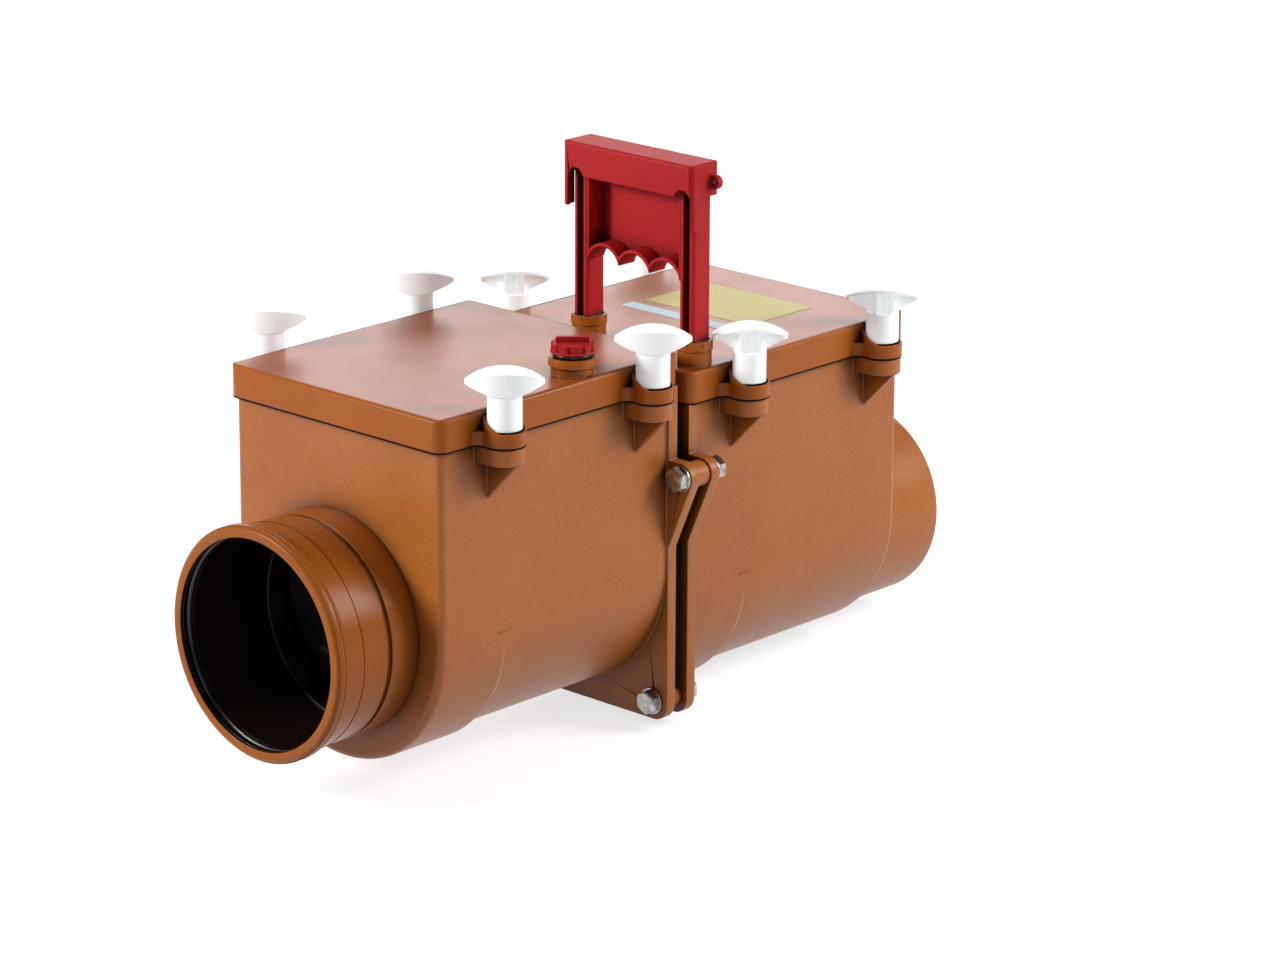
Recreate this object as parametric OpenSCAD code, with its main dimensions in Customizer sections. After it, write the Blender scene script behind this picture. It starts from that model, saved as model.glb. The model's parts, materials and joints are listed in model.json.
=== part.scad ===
// Double-flap backwater valve for a buried drain.
// X runs with the flow, Z is up, and the origin is the centre of the inlet socket's mouth.

/* [Pipe] */
// Outside diameter of the drain pipe
pipe_d = 160; // [154:1:166]
// Radial clearance of the inlet socket round the pipe
socket_fit = 0.5; // [0.2:0.1:0.5]
// Wall of the inlet socket
socket_wall = 5.5; // [4.5:0.5:7]
// Height of the sealing bead above the socket wall
bead_h = 3.3; // [2:0.1:5]
// Roundness of the sealing bead
bead_r = 8; // [7:0.5:10]
// Width of the seal groove inside the bead
seal_w = 10; // [8:0.5:12]
// Depth of the seal groove below the socket bore
seal_h = 4; // [3:0.5:5]
// Length of the socket barrel in front of its groove
barrel_l = 53; // [40:1:60]
// Length of the barrel's thicker front part
barrel_front = 29; // [24:1:36]
// Step down behind that part
barrel_step = 0.4; // [0.2:0.1:0.8]
// Depth of the groove behind the barrel
neck_groove = 3; // [2:0.5:4]
// Width of that groove
neck_groove_w = 4.5; // [3:0.5:6]
// Length of the outlet spigot
spigot_l = 90.5; // [70:0.5:110]
// Wall of the outlet spigot
spigot_wall = 4; // [3:0.5:6]
// Drop from the second chamber to the outlet
outlet_drop = 21; // [16:1:22]

/* [Chambers] */
// Distance from the socket mouth to the first chamber
chamber_x = 84; // [78:1:100]
// Outside length of a chamber
chamber_l = 248; // [236:1:270]
// Outside width of a chamber
chamber_w = 216.8; // [212:0.2:226]
// Height of the walls above the chamber's axis
wall_h = 166.5; // [160:0.5:180]
// Thickness of the moulded walls
wall = 4; // [3:0.5:5]
// Radius of the upright corners
corner_r = 6; // [5:0.5:8]
// Rise of the main floor above the upstream floor
floor_rise = 5.4; // [3:0.2:7]
// Length of the deeper floor at the upstream end
band_l = 65; // [50:1:80]
// Length of the step between the two floors
step_l = 15; // [10:1:25]
// Drop from the first chamber to the second
chamber_drop = 19; // [15:1:21]

/* [Flange joint] */
// Thickness of the flange plates
flange_t = 9.5; // [8:0.5:11]
// Gap between the flange plates
flange_gap = 13; // [11:0.5:16]
// Distance that a flange face stands in front of its chamber's rim
flange_step = 2.5; // [2:0.5:3]
// Distance that a flange edge stands out from the chamber wall
flange_lip = 2.1; // [1.5:0.1:4]
// Depth of the flange below the inlet axis
flange_depth = 118.5; // [116:0.5:124]
// Radius of the lower flange corners
flange_r = 14; // [10:1:18]
// Distance of the upper bolts beyond the chamber wall
ear_reach = 14.4; // [13:0.2:18]
// Height of the upper bolts above the inlet axis
ear_z = 80.9; // [70:0.1:90]
// Radius of the ear round an upper bolt
ear_r = 11.6; // [11:0.2:14]
// Length of the ear's taper below its bolt
ear_taper = 58.4; // [45:0.2:70]
// Distance of a lower bolt from the flange's lower corner, each way
bolt_inset = 15; // [14:0.5:17]
// Diameter of the flange bolts
bolt_d = 10; // [8:1:12]
// Width of the bolt heads and nuts across their flats
bolt_af = 17; // [15:0.5:18]
// Height of the bolt heads
bolt_head_h = 6.4; // [5:0.2:8]
// Height of the nuts
nut_h = 8; // [6:0.5:9]
// Diameter of the washers
washer_d = 21; // [19:0.5:22]
// Thickness of the washers
washer_t = 2; // [1.5:0.5:3]
// Radial clearance of the bolts in the flanges
bolt_fit = 0.5; // [0.3:0.1:0.8]
// Diameter of the spacers between the flanges
spacer_d = 20; // [18:1:22]
// Radial room between the second seat and the outlet flange
seat_room = 7; // [5:0.5:8]
// Distance of the joint gasket's edge inside the flanges' edge
joint_seal_in = 8; // [6:0.5:9]

/* [Flaps] */
// Distance that the seats' bore stands inside the pipe's outside
seat_step = 2; // [1:0.5:5]
// Wall of the seats
seat_wall = 5; // [4:0.5:6]
// Distance from the chamber's end to the top of its seat
seat_l = 12; // [9:0.5:14]
// Lean of the seats from upright, in degrees
seat_lean = 8; // [5:0.5:10]
// Thickness of the flap plate
flap_t = 6; // [5:0.5:7]
// Thickness of the flap seal
flap_seal_t = 4; // [3:0.5:5]
// Overlap of the flap plate beyond its seat
flap_lap = 2.5; // [1:0.5:4]
// Gap between the seal and its seat
flap_gap = 0.05; // [0.03:0.01:0.1]
// Width of the band where the seal is clamped
clamp_w = 7; // [5:0.5:9]
// Thickness of the retaining plate
retainer_t = 3; // [2:0.5:4]
// Radial clearance of the retaining plate in its seat
retainer_fit = 4.5; // [3.5:0.5:6]
// Height of the stiffening ribs on the flap
flap_rib_h = 8; // [5:0.5:10]
// Thickness of those ribs
flap_rib_t = 6; // [4:0.5:7]
// Radius of the round rib
flap_rib_r = 53; // [48:1:56]
// Distance of the straight ribs' ends from the flap's edge
flap_rib_end = 17; // [14:1:24]
// Height of the hinge pin above the flap plate
hinge_rise = 11; // [10:0.5:13]
// Distance of the hinge pin behind the seat
hinge_set = 6; // [5:0.5:7]
// Diameter of the hinge pins
hinge_pin_d = 6; // [5:0.5:7]
// Radial clearance of the pins in the flap arms
hinge_fit = 0.08; // [0.03:0.01:0.1]
// Distance of the hinge arms from the middle
arm_y = 28; // [26:0.5:32]
// Width of a hinge arm
arm_w = 12; // [8:0.5:14]
// Width of a hinge lug
lug_w = 7; // [5:0.5:9]
// Wall round the hinge pin
hinge_wall = 4.5; // [4:0.5:5]
// Height of the pad that the locking foot stands behind
lock_pad_h = 20; // [16:1:24]
// Distance of that pad from the flap's edge
lock_pad_end = 6; // [5:0.5:8]
// Diameter of the retaining screws
flap_screw_d = 5; // [4:0.5:6]

/* [Covers] */
// Height of the cover skirt
skirt_h = 24.8; // [22:0.2:28]
// Wall of the cover skirt
skirt_t = 3.2; // [2.5:0.1:4]
// Clearance between the skirt and the chamber wall
cover_fit = 0.8; // [0.5:0.1:1]
// Thickness of the cover plate
cover_t = 5; // [4:0.5:6]
// Thickness of the cover gasket
cover_seal_t = 4; // [3:0.5:5]
// Distance that the gasket reaches inside the wall
cover_seal_in = 0.9; // [0.5:0.1:1]
// Rounding of the cover's upper edge
cover_edge_r = 3; // [2:0.5:4]
// Distance of the ribs under the cover from its chamber's outside
cover_rib_inset = 36; // [34:1:40]
// Depth of the ribs under the cover
cover_rib_h = 7; // [6:0.5:9]
// Thickness of the ribs under the cover
cover_rib_t = 3; // [2.5:0.5:4]
// Gap between the skirt and what stands below it
skirt_gap = 1; // [0.5:0.1:1.5]

/* [Wing screws] */
// Distance of the upstream screws from the chamber's end
screw_up = 49.5; // [44:0.5:60]
// Distance of the downstream screws from the chamber's end
screw_down = 41; // [38:0.5:60]
// Distance of the screws beyond the chamber wall
screw_reach = 16.6; // [16.6:0.2:20]
// Diameter of the screw's sleeve
sleeve_d = 25.7; // [24:0.1:25.7]
// Height of the sleeve below the wings
sleeve_h = 26.4; // [24:0.2:32]
// Span of the wings
wing_span = 58; // [50:1:58]
// Rise of the wings from the sleeve to their tips
wing_rise = 8; // [6:0.5:10]
// Thickness of the wings at their tips
wing_tip_t = 3; // [2:0.5:4]
// Height of the domed top above the tips
wing_dome = 8.2; // [6:0.2:10]
// Width of the wings
wing_w = 26.4; // [26:0.2:30]
// Thickness of the head over its hollow
wing_shell = 2.2; // [1.6:0.2:3]
// Distance of the ribs in that hollow from the middle
wing_rib_x = 7; // [6:0.5:9]
// Plan angle of the wings, in degrees
wing_turn = -46; // [-90:1:90]
// Diameter of the steel stud
stud_d = 9.8; // [8:0.1:10]
// Radial clearance of the stud in its insert
stud_fit = 0.1; // [0.05:0.01:0.1]
// Length of the stud inside the sleeve
stud_in = 20; // [14:1:22]
// Diameter of the brass insert
insert_d = 15; // [14:0.5:16]
// Diameter of the ear under a screw
lobe_d = 32; // [30:0.5:34]
// Height of that ear
lobe_h = 10.8; // [9:0.2:13]
// Radius of the blend between the ear and the skirt
lobe_blend = 7; // [5:0.5:9]
// Clearance of the sleeve in its cup
cup_fit = 0.6; // [0.4:0.1:0.8]
// Height of the cup's back above the ear
cup_h = 9.5; // [6:0.5:11]
// Diameter of the boss that takes the insert
boss_d = 30; // [28:0.5:32]
// Height of that boss
boss_h = 13; // [11:0.5:16]
// Height of the fin under the boss
fin_h = 31; // [22:0.5:38]
// Thickness of the fin
fin_t = 4; // [3:0.5:6]

/* [Emergency closure] */
// Distance of the handle's legs from the outlet chamber's upstream end
leg_x = 20; // [19:0.5:24]
// Place of the locking leg across the valve
lock_leg_y = 15; // [14:0.5:16]
// Distance of the guide leg's middle from the chamber's outside
guide_inset = 13.4; // [13:0.2:18]
// Width of a leg across the valve
leg_w = 15; // [13:0.5:16]
// Depth of a leg along the valve
leg_d = 20; // [18:0.5:21]
// Rounding of a leg's edges
leg_r = 3; // [2:0.5:4]
// Width of the slot in a leg
slot_w = 6.5; // [5:0.5:8]
// Depth of the slot in a leg
slot_d = 14; // [10:0.5:15]
// Clearance of a leg in its gland
leg_fit = 0.15; // [0.1:0.05:0.3]
// Height of the gland necks on the cover
gland_neck_h = 12; // [10:0.5:12]
// Diameter of the gland necks
gland_neck_d = 26.8; // [26:0.2:28]
// Diameter of the gland nuts
gland_nut_d = 28.4; // [28:0.2:30]
// Height of the gland nuts
gland_nut_h = 7.5; // [6:0.5:7.5]
// Wall of the seal round a leg
gland_seal_t = 1.1; // [0.8:0.1:1.3]
// Height of the seal's foot
gland_seal_h = 3; // [2:0.5:4]
// Travel of the handle
handle_travel = 42; // [38:1:43]
// Height of the handle's top above the gland nuts
handle_h = 138; // [130:1:150]
// Depth of the handle's cap along the valve
cap_d = 32; // [30:1:36]
// Height of the cap
cap_h = 20; // [16:1:24]
// Distance that the cap reaches beyond the locking leg's middle
cap_lock_end = 14; // [12:0.5:18]
// Distance that the cap reaches beyond the guide leg's middle
cap_guide_end = 10; // [9:0.5:14]
// Rounding of the cap's edges
cap_r = 2.5; // [1.5:0.5:4]
// Wall of the cap's skirts
cap_wall = 3.5; // [3:0.5:5]
// Depth of the cap's skirts below its top
cap_skirt = 26; // [24:1:34]
// Length of the cap's corner posts below its top
post_h = 51; // [44:1:58]
// Width of the locking side's corner post
post_w = 11; // [8:0.5:12]
// Width of the arch over a leg's slot
arch_w = 16; // [14:0.5:18]
// Depth of the grip below the cap's top, at the crowns of its scallops
grip_h = 80; // [72:1:84]
// Depth of the grip's scallops
scallop_h = 12.5; // [9:0.5:13]
// Thickness of the grip along the valve
grip_d = 19; // [12:0.5:19.5]
// Width of the grip's lips
grip_wall = 3; // [2.5:0.5:4]
// Thickness of the web at the grip's back
web_t = 3; // [2.5:0.5:5]
// Radius of the eyelet on the handle's end
eyelet_r = 5.5; // [5:0.5:7]
// Gap between the lowered handle's leg and the flap
leg_clear = 0.8; // [0.5:0.1:2]
// Thickness of the foot's top under the leg
foot_top = 4; // [3:0.5:5]
// Depth of the eyelet's middle below the cap's top
eyelet_z = 15; // [12:0.5:18]
// Length of the foot below the locking leg
foot_h = 24; // [20:0.5:25]
// Depth of the foot along the valve
foot_d = 12; // [10:0.5:14]
// Clearance between the foot and the closed flap
foot_gap = 0.3; // [0.2:0.1:0.6]
// Height of the foot's tongue in the leg
tongue_h = 22; // [16:1:30]
// Clearance of the foot's tongue in the leg
tongue_fit = 0.15; // [0.1:0.05:0.3]
// Diameter of the pin through the tongue
foot_pin_d = 4; // [3:0.5:5]

/* [Test plug] */
// Distance of the plug from the inlet chamber's upstream end
plug_x = 156; // [145:1:165]
// Distance of the plug from the chamber's outside
plug_inset = 17.4; // [17:0.2:28]
// Diameter of the plug's boss at its rim
plug_rim_d = 36.6; // [34:0.2:38]
// Height of that rim
plug_rim_h = 7; // [5:0.5:9]
// Diameter of the boss below its rim
plug_neck_d = 33; // [31:0.5:34]
// Height of the boss below its rim
plug_neck_h = 6; // [4:0.5:9]
// Diameter of the plug's head
plug_head_d = 33.6; // [31:0.2:35]
// Height of the plug's head
plug_head_h = 7.5; // [6:0.5:9]
// Diameter of the plug's shank
plug_shank_d = 24; // [22:0.5:25]
// Length of the plug's shank
plug_shank_l = 18; // [15:0.5:18]
// Radial clearance of the shank in its boss
plug_fit = 0.1; // [0.05:0.01:0.1]
// Number of flutes round the plug's head
plug_flutes = 10; // [6:1:14]
// Width and height of the bar across the plug's head
plug_bar = 4; // [3:0.5:6]
// Length of that bar
plug_bar_l = 25; // [20:0.5:28]
// Thickness of the plug's sealing ring
ring_d = 3; // [2.5:0.1:3.5]

/* [Hidden] */
$fn = 96;

pvc = "#ac6230";
white = "#f2f4f2";
red = "#b82626";
rubber = "#1c1c1e";
dark_plastic = "#2b2d30";
zinc = "#b9bcbe";
brass = "#b99a4c";

past = 1;
half_w = chamber_w / 2;
bore_r = pipe_d / 2 + socket_fit;
socket_r = bore_r + socket_wall;
socket_depth = chamber_x + wall / 2;
collar_r = socket_r - barrel_step;
collar_x = barrel_l + neck_groove_w;
tail_r = socket_r - neck_groove;
seal_x = bead_r - seal_w / 2;
spigot_chamfer = spigot_wall / 2;
chamber_end = chamber_x + chamber_l;
spigot_seat = 0.75 * wall;
spigot_tail_r = pipe_d / 2 - spigot_wall / 4;
spigot_clear = spigot_wall / 8;
outlet_z = -chamber_drop - outlet_drop;

// The second chamber is the first one moved along and down.
pitch = chamber_l + flange_gap + 2 * flange_step;
x_end = chamber_end + pitch;
face_1 = chamber_end + flange_step;
face_2 = face_1 + flange_gap;
back_1 = face_1 - flange_t;
back_2 = face_2 + flange_t;
flange_w = half_w + flange_lip;

cover_z = wall_h + cover_seal_t + cover_t;
skirt_z = cover_z - skirt_h;
skirt_in = cover_fit;
skirt_out = cover_fit + skirt_t;
flange_top = skirt_z - skirt_gap;

ear_y = half_w + ear_reach;
low_bolt_y = flange_w - bolt_inset;
low_bolt_z = bolt_inset - flange_depth;
BOLTS = [[ear_y, ear_z], [-ear_y, ear_z], [low_bolt_y, low_bolt_z], [-low_bolt_y, low_bolt_z]];

seat_r = pipe_d / 2 - seat_step;
seat_out = seat_r + seat_wall;
seat_x = chamber_x + seat_l + seat_out * tan(seat_lean);
flap_r = seat_out / cos(seat_lean) + flap_lap;
plate_x = flap_gap + flap_seal_t;
flap_back = plate_x + flap_t;
rib_back = flap_back + flap_rib_h;
hinge_h = flap_r + hinge_rise;
hinge_x = seat_x + hinge_set * cos(seat_lean) - hinge_h * sin(seat_lean);
hinge_z = hinge_set * sin(seat_lean) + hinge_h * cos(seat_lean);
knuckle_r = hinge_pin_d / 2 + hinge_wall;
arm_end = arm_y + arm_w;
lug_gap = 1;
lug_y = arm_end + lug_gap;
lug_r = knuckle_r;
opening_r = seat_out + seat_room;
notch_y = lug_y + lug_w + seat_room / 2;
notch_z = hinge_z + lug_r + seat_room / 2;

screw_x = [chamber_x + screw_up, chamber_end - screw_down];
screw_y = half_w + screw_reach;
lobe_z = skirt_z + lobe_h;
sleeve_r = sleeve_d / 2;
sleeve_lift = 0.2;
sleeve_z = lobe_z + sleeve_lift;
wing_r = wing_span / 2;
wing_tip_z = sleeve_h + wing_rise;
wing_top = wing_tip_z + wing_tip_t + wing_dome;
dome_r = (wing_r * wing_r + wing_dome * wing_dome) / (2 * wing_dome);
boss_top = skirt_z - skirt_gap;
boss_z = boss_top - boss_h;

leg_at = [chamber_x + leg_x + pitch, lock_leg_y];
guide_leg_y = guide_inset - half_w;
legs_y = [lock_leg_y, guide_leg_y];
outlet_cover_z = cover_z - chamber_drop;
gland_nut_z = outlet_cover_z + gland_neck_h;
gland_top = gland_nut_z + gland_nut_h;
handle_top = gland_top + handle_h;
seat_2_x = seat_x + pitch;
flap_top = flap_r * cos(seat_lean) + flap_back * sin(seat_lean) - chamber_drop;
leg_end = flap_top + leg_clear + foot_top + handle_travel;
cusp_z = handle_top - grip_h - scallop_h;
cap_y0 = guide_leg_y - cap_guide_end;
cap_y1 = lock_leg_y + cap_lock_end;

plug_at = [chamber_x + plug_x, plug_inset - half_w];
plug_rim_z = cover_z + plug_neck_h;
plug_seat_z = plug_rim_z + plug_rim_h;
ring_gap = 0.05;
plug_head_z = plug_seat_z + ring_d + 2 * ring_gap;

// Point where a line from p just touches a circle of radius r round c, on its outer side.
function touch(p, c, r) =
    let (d = norm(c - p))
    let (a = atan2(c[1] - p[1], c[0] - p[0]) - asin(r / d))
    let (l = sqrt(d * d - r * r))
    p + l * [cos(a), sin(a)];

// Half of a chamber's plan, from the middle to one side, with its corners rounded.
module half_plan(x0, x1, hw, r) {
    translate([x0 + r, 0]) square([x1 - x0 - 2 * r, hw]);
    translate([x0, 0]) square([x1 - x0, hw - r]);
    for (x = [x0 + r, x1 - r]) translate([x, hw - r]) circle(r);
}

// Whole plan of a chamber or a cover.
module plan(x0, x1, hw, r) {
    half_plan(x0, x1, hw, r);
    mirror([0, 1]) half_plan(x0, x1, hw, r);
}

// Turns a half outline round the X axis to make a round floor under it.
module half_turn() {
    rotate([0, 90, 0]) rotate(-90) rotate_extrude(angle = 180) mirror([1, -1]) children();
}

// Turns a profile, drawn as length and radius, all round the X axis.
module full_turn() {
    rotate([0, 90, 0]) rotate_extrude() mirror([1, -1]) children();
}

// Extrudes a cross-section, drawn as width and height, along X.
module along_x(x0, x1) {
    translate([x0, 0, 0]) rotate([90, 0, 90]) linear_extrude(height = x1 - x0) children();
}

// Extrudes a side view, drawn as length and height, across the valve.
module across(y0, y1) {
    translate([0, y1, 0]) rotate([90, 0, 0]) linear_extrude(height = y1 - y0) children();
}

// A chamber's block: upright walls over a round main floor, with a deeper upstream floor.
module chamber_form(x0, x1, inset, top) {
    hw = half_w - inset;
    r = corner_r - (inset > 0 ? corner_r / 2 : 0);
    band_end = chamber_x + band_l;
    steps = 8;
    sink = 0.5;
    translate([0, 0, floor_rise]) {
        linear_extrude(height = top - floor_rise) plan(x0, x1, hw, r);
        half_turn() half_plan(x0, x1, hw, r);
    }
    linear_extrude(height = floor_rise) {
        plan(x0, band_end, hw, r);
        polygon([
            [band_end - past, -hw],
            [band_end + step_l, sink - hw],
            [band_end + step_l, hw - sink],
            [band_end - past, hw]
        ]);
    }
    half_turn() intersection() {
        half_plan(x0, x1, hw, r);
        polygon(concat(
            [[x0, 0], [x0, hw]],
            [for (i = [0:steps]) [
                band_end + step_l * i / steps,
                hw - (floor_rise + sink) * (1 - cos(180 * i / steps)) / 2
            ]],
            [[band_end + step_l, 0]]
        ));
    }
}

// One flange plate's outline, with the two bolt ears.
module flange_outline(top) {
    translate([-flange_w, flange_r - flange_depth]) square([2 * flange_w, top + flange_depth - flange_r]);
    translate([flange_r - flange_w, -flange_depth]) square([2 * (flange_w - flange_r), flange_r]);
    for (s = [-1, 1]) {
        translate([s * (flange_w - flange_r), flange_r - flange_depth]) circle(flange_r);
        mirror([s > 0 ? 0 : 1, 0]) ear_outline();
    }
}

// A tapered ear that carries an upper bolt.
module ear_outline() {
    foot = [flange_w, ear_z - ear_taper];
    translate([ear_y, ear_z]) circle(ear_r);
    translate([half_w - wall, ear_z - ear_r]) square([ear_y - half_w + wall, 2 * ear_r]);
    polygon([
        [half_w - wall, foot[1]],
        foot,
        touch(foot, [ear_y, ear_z], ear_r),
        [ear_y, ear_z],
        [half_w - wall, ear_z]
    ]);
}

// A round rod along X.
module rod(x0, x1, r) {
    translate([x0, 0, 0]) rotate([0, 90, 0]) cylinder(r = r, h = x1 - x0);
}

// Places what repeats at the four flange bolts, with Z along the bolt.
module at_bolts(x) {
    for (b = BOLTS) translate([x, b[0], b[1]]) rotate([0, 90, 0]) children();
}

// Round holes for the four flange bolts.
module bolt_holes(x0, x1) {
    at_bolts(x0) cylinder(r = bolt_d / 2 + bolt_fit, h = x1 - x0);
}

// The opening of the joint, round the second seat and its hinge, grown all round.
module joint_opening(grow) {
    translate([0, -chamber_drop]) {
        circle(opening_r + grow);
        translate([-notch_y - grow, 0]) square([2 * (notch_y + grow), notch_z + grow]);
    }
}

// Bosses under the wing screws' ears, each on a fin.
module screw_bosses() {
    for (x = screw_x, s = [0, 1]) translate([x, 0, 0]) mirror([0, s, 0]) {
        translate([0, screw_y, boss_z]) cylinder(d = boss_d, h = boss_h);
        translate([-boss_d / 2, half_w - wall / 2, boss_z]) cube([boss_d, screw_reach + wall / 2, boss_h]);
        along_x(-fin_t / 2, fin_t / 2) polygon([
            [half_w - wall / 2, boss_z - fin_h],
            [half_w, boss_z - fin_h],
            [screw_y + boss_d / 2 - past, boss_z],
            [screw_y + boss_d / 2 - past, boss_z + past],
            [half_w - wall / 2, boss_z + past]
        ]);
    }
}

// Holes for the threaded inserts.
module insert_holes() {
    for (x = screw_x, s = [-1, 1]) translate([x, s * screw_y, boss_z - past])
        cylinder(d = insert_d + 2 * ring_gap, h = boss_h + 2 * past);
}

// A seat nozzle that starts at x0 and is cut off at the leaning seat plane.
module seat_nozzle(x0) {
    difference() {
        rod(x0, seat_x + seat_out * tan(seat_lean), seat_out);
        translate([seat_x, 0, 0]) rotate([0, -seat_lean, 0])
            translate([0, -pipe_d, -pipe_d]) cube(2 * pipe_d);
    }
}

// Two lugs that carry a flap's hinge pins, standing out from x0.
module hinge_lugs(x0) {
    for (s = [-1, 1]) difference() {
        across(min(s * lug_y, s * (lug_y + lug_w)), max(s * lug_y, s * (lug_y + lug_w))) {
            translate([hinge_x, hinge_z]) circle(lug_r);
            translate([x0, hinge_z - lug_r]) square([hinge_x - x0, 2 * lug_r]);
        }
        translate([hinge_x, 0, hinge_z]) rotate([90, 0, 0])
            cylinder(d = hinge_pin_d + 2 * ring_gap, h = 2 * half_w, center = true);
    }
}

// Moves a first-chamber shape to the second chamber.
module second() {
    translate([pitch, 0, -chamber_drop]) children();
}

module inlet_body() {
    color(pvc) difference() {
        union() {
            difference() {
                union() {
                    chamber_form(chamber_x, chamber_end, 0, wall_h);
                    along_x(back_1, face_1) flange_outline(flange_top);
                    screw_bosses();
                }
                chamber_form(chamber_x + wall, back_1, wall, wall_h + past);
            }
            at_bolts(back_1) cylinder(d = spacer_d, h = face_2 - back_1);
            seat_nozzle(chamber_x);
            hinge_lugs(chamber_x + wall / 2);
            second() {
                seat_nozzle(back_1 - pitch);
                hinge_lugs(back_1 - pitch + wall);
            }
        }
        rod(chamber_x - past, socket_depth, tail_r + ring_gap);
        rod(chamber_x, seat_x + seat_out, seat_r);
        translate([0, 0, -chamber_drop]) rod(back_1 - past, seat_2_x + seat_out, seat_r);
        bolt_holes(back_1 - past, face_2 + past);
        insert_holes();
    }
}

// The inlet socket: beaded mouth, stepped barrel, collar, and a tail that is welded into the end wall.
module inlet_socket() {
    color(pvc) full_turn() difference() {
        union() {
            square([barrel_front, socket_r]);
            square([barrel_l, collar_r]);
            square([socket_depth, tail_r]);
            translate([collar_x, 0]) square([chamber_x - collar_x, collar_r]);
            intersection() {
                translate([bead_r - bead_h + past, socket_r + bead_h - bead_r]) circle(bead_r);
                square([barrel_front, socket_r + bead_h]);
            }
        }
        translate([-past, 0]) square([socket_depth + 2 * past, bore_r]);
        translate([seal_x, 0]) square([seal_w, bore_r + seal_h]);
    }
}

module outlet_body() {
    color(pvc) difference() {
        union() {
            difference() {
                union() {
                    second() {
                        chamber_form(chamber_x, chamber_end, 0, wall_h);
                        screw_bosses();
                    }
                    along_x(face_2, back_2) flange_outline(flange_top - chamber_drop);
                }
                second() chamber_form(back_2 - pitch, chamber_end - wall, wall, wall_h + past);
            }
        }
        translate([0, 0, outlet_z]) {
            rod(x_end - 2 * wall, x_end + past, pipe_d / 2 - spigot_wall);
            rod(x_end - spigot_seat, x_end + past, spigot_tail_r + ring_gap);
        }
        along_x(face_2 - past, back_2 + past) joint_opening(0);
        bolt_holes(face_2 - past, back_2 + past);
        second() insert_holes();
    }
}

// The outlet spigot, welded into the end wall and chamfered for the next pipe's socket.
module outlet_spigot() {
    r = pipe_d / 2;
    end = x_end + spigot_l;
    color(pvc) translate([0, 0, outlet_z]) full_turn() polygon([
        [x_end - spigot_seat, r - spigot_wall],
        [x_end - spigot_seat, spigot_tail_r],
        [x_end + spigot_clear, spigot_tail_r],
        [x_end + spigot_clear, r],
        [end - 2 * spigot_chamfer, r],
        [end, r - spigot_chamfer / 2],
        [end, r - spigot_wall]
    ]);
}

// Gasket between the flanges, cut out round the second seat and the lower spacers.
module joint_gasket() {
    top = flange_top - chamber_drop - joint_seal_in;
    w = flange_w - joint_seal_in;
    low = joint_seal_in - flange_depth;
    color(rubber) difference() {
        along_x(face_1, face_2) difference() {
            translate([-w, low]) square([2 * w, top - low]);
            joint_opening(past);
        }
        at_bolts(face_1 - past) cylinder(d = spacer_d + 2 * past, h = flange_gap + 2 * past);
    }
}

module inlet_seal_ring() {
    color(rubber) full_turn() difference() {
        translate([seal_x + ring_gap, bore_r + 2 * ring_gap])
            square([seal_w - 2 * ring_gap, seal_h - 4 * ring_gap]);
        translate([seal_x + seal_w / 2, bore_r]) circle(seal_w / 5);
    }
}

module flange_bolts() {
    color(zinc) at_bolts(back_1 - washer_t - bolt_head_h) {
        cylinder(d = bolt_af / cos(30), h = bolt_head_h, $fn = 6);
        cylinder(d = bolt_d, h = bolt_head_h + back_2 - back_1 + 2 * washer_t + nut_h + bolt_d / 4);
    }
}

module flange_washers() {
    color(zinc) for (x = [back_1 - washer_t, back_2]) at_bolts(x) difference() {
        cylinder(d = washer_d, h = washer_t);
        translate([0, 0, -past]) cylinder(d = bolt_d + bolt_fit, h = washer_t + 2 * past);
    }
}

module flange_nuts() {
    color(zinc) at_bolts(back_2 + washer_t) difference() {
        cylinder(d = bolt_af / cos(30), h = nut_h, $fn = 6);
        translate([0, 0, -past]) cylinder(d = bolt_d + 2 * ring_gap, h = nut_h + 2 * past);
    }
}

module thread_inserts() {
    color(brass) for (k = [0, 1], x = screw_x, s = [-1, 1])
        translate([x + k * pitch, s * screw_y, boss_z - k * chamber_drop]) difference() {
            cylinder(d = insert_d, h = boss_h);
            translate([0, 0, -past]) cylinder(r = stud_d / 2 + stud_fit, h = boss_h + 2 * past);
        }
}

// Two short pins, one on each side, so that the middle stays clear.
module hinge_pins() {
    pin_y = (arm_y + lug_y + lug_w) / 2;
    color(zinc) for (s = [-1, 1]) translate([hinge_x, s * pin_y, hinge_z]) rotate([90, 0, 0])
        cylinder(d = hinge_pin_d, h = lug_y + lug_w - arm_y, center = true);
}

module flap_1_pins() hinge_pins();

module flap_2_pins() second() hinge_pins();

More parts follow.
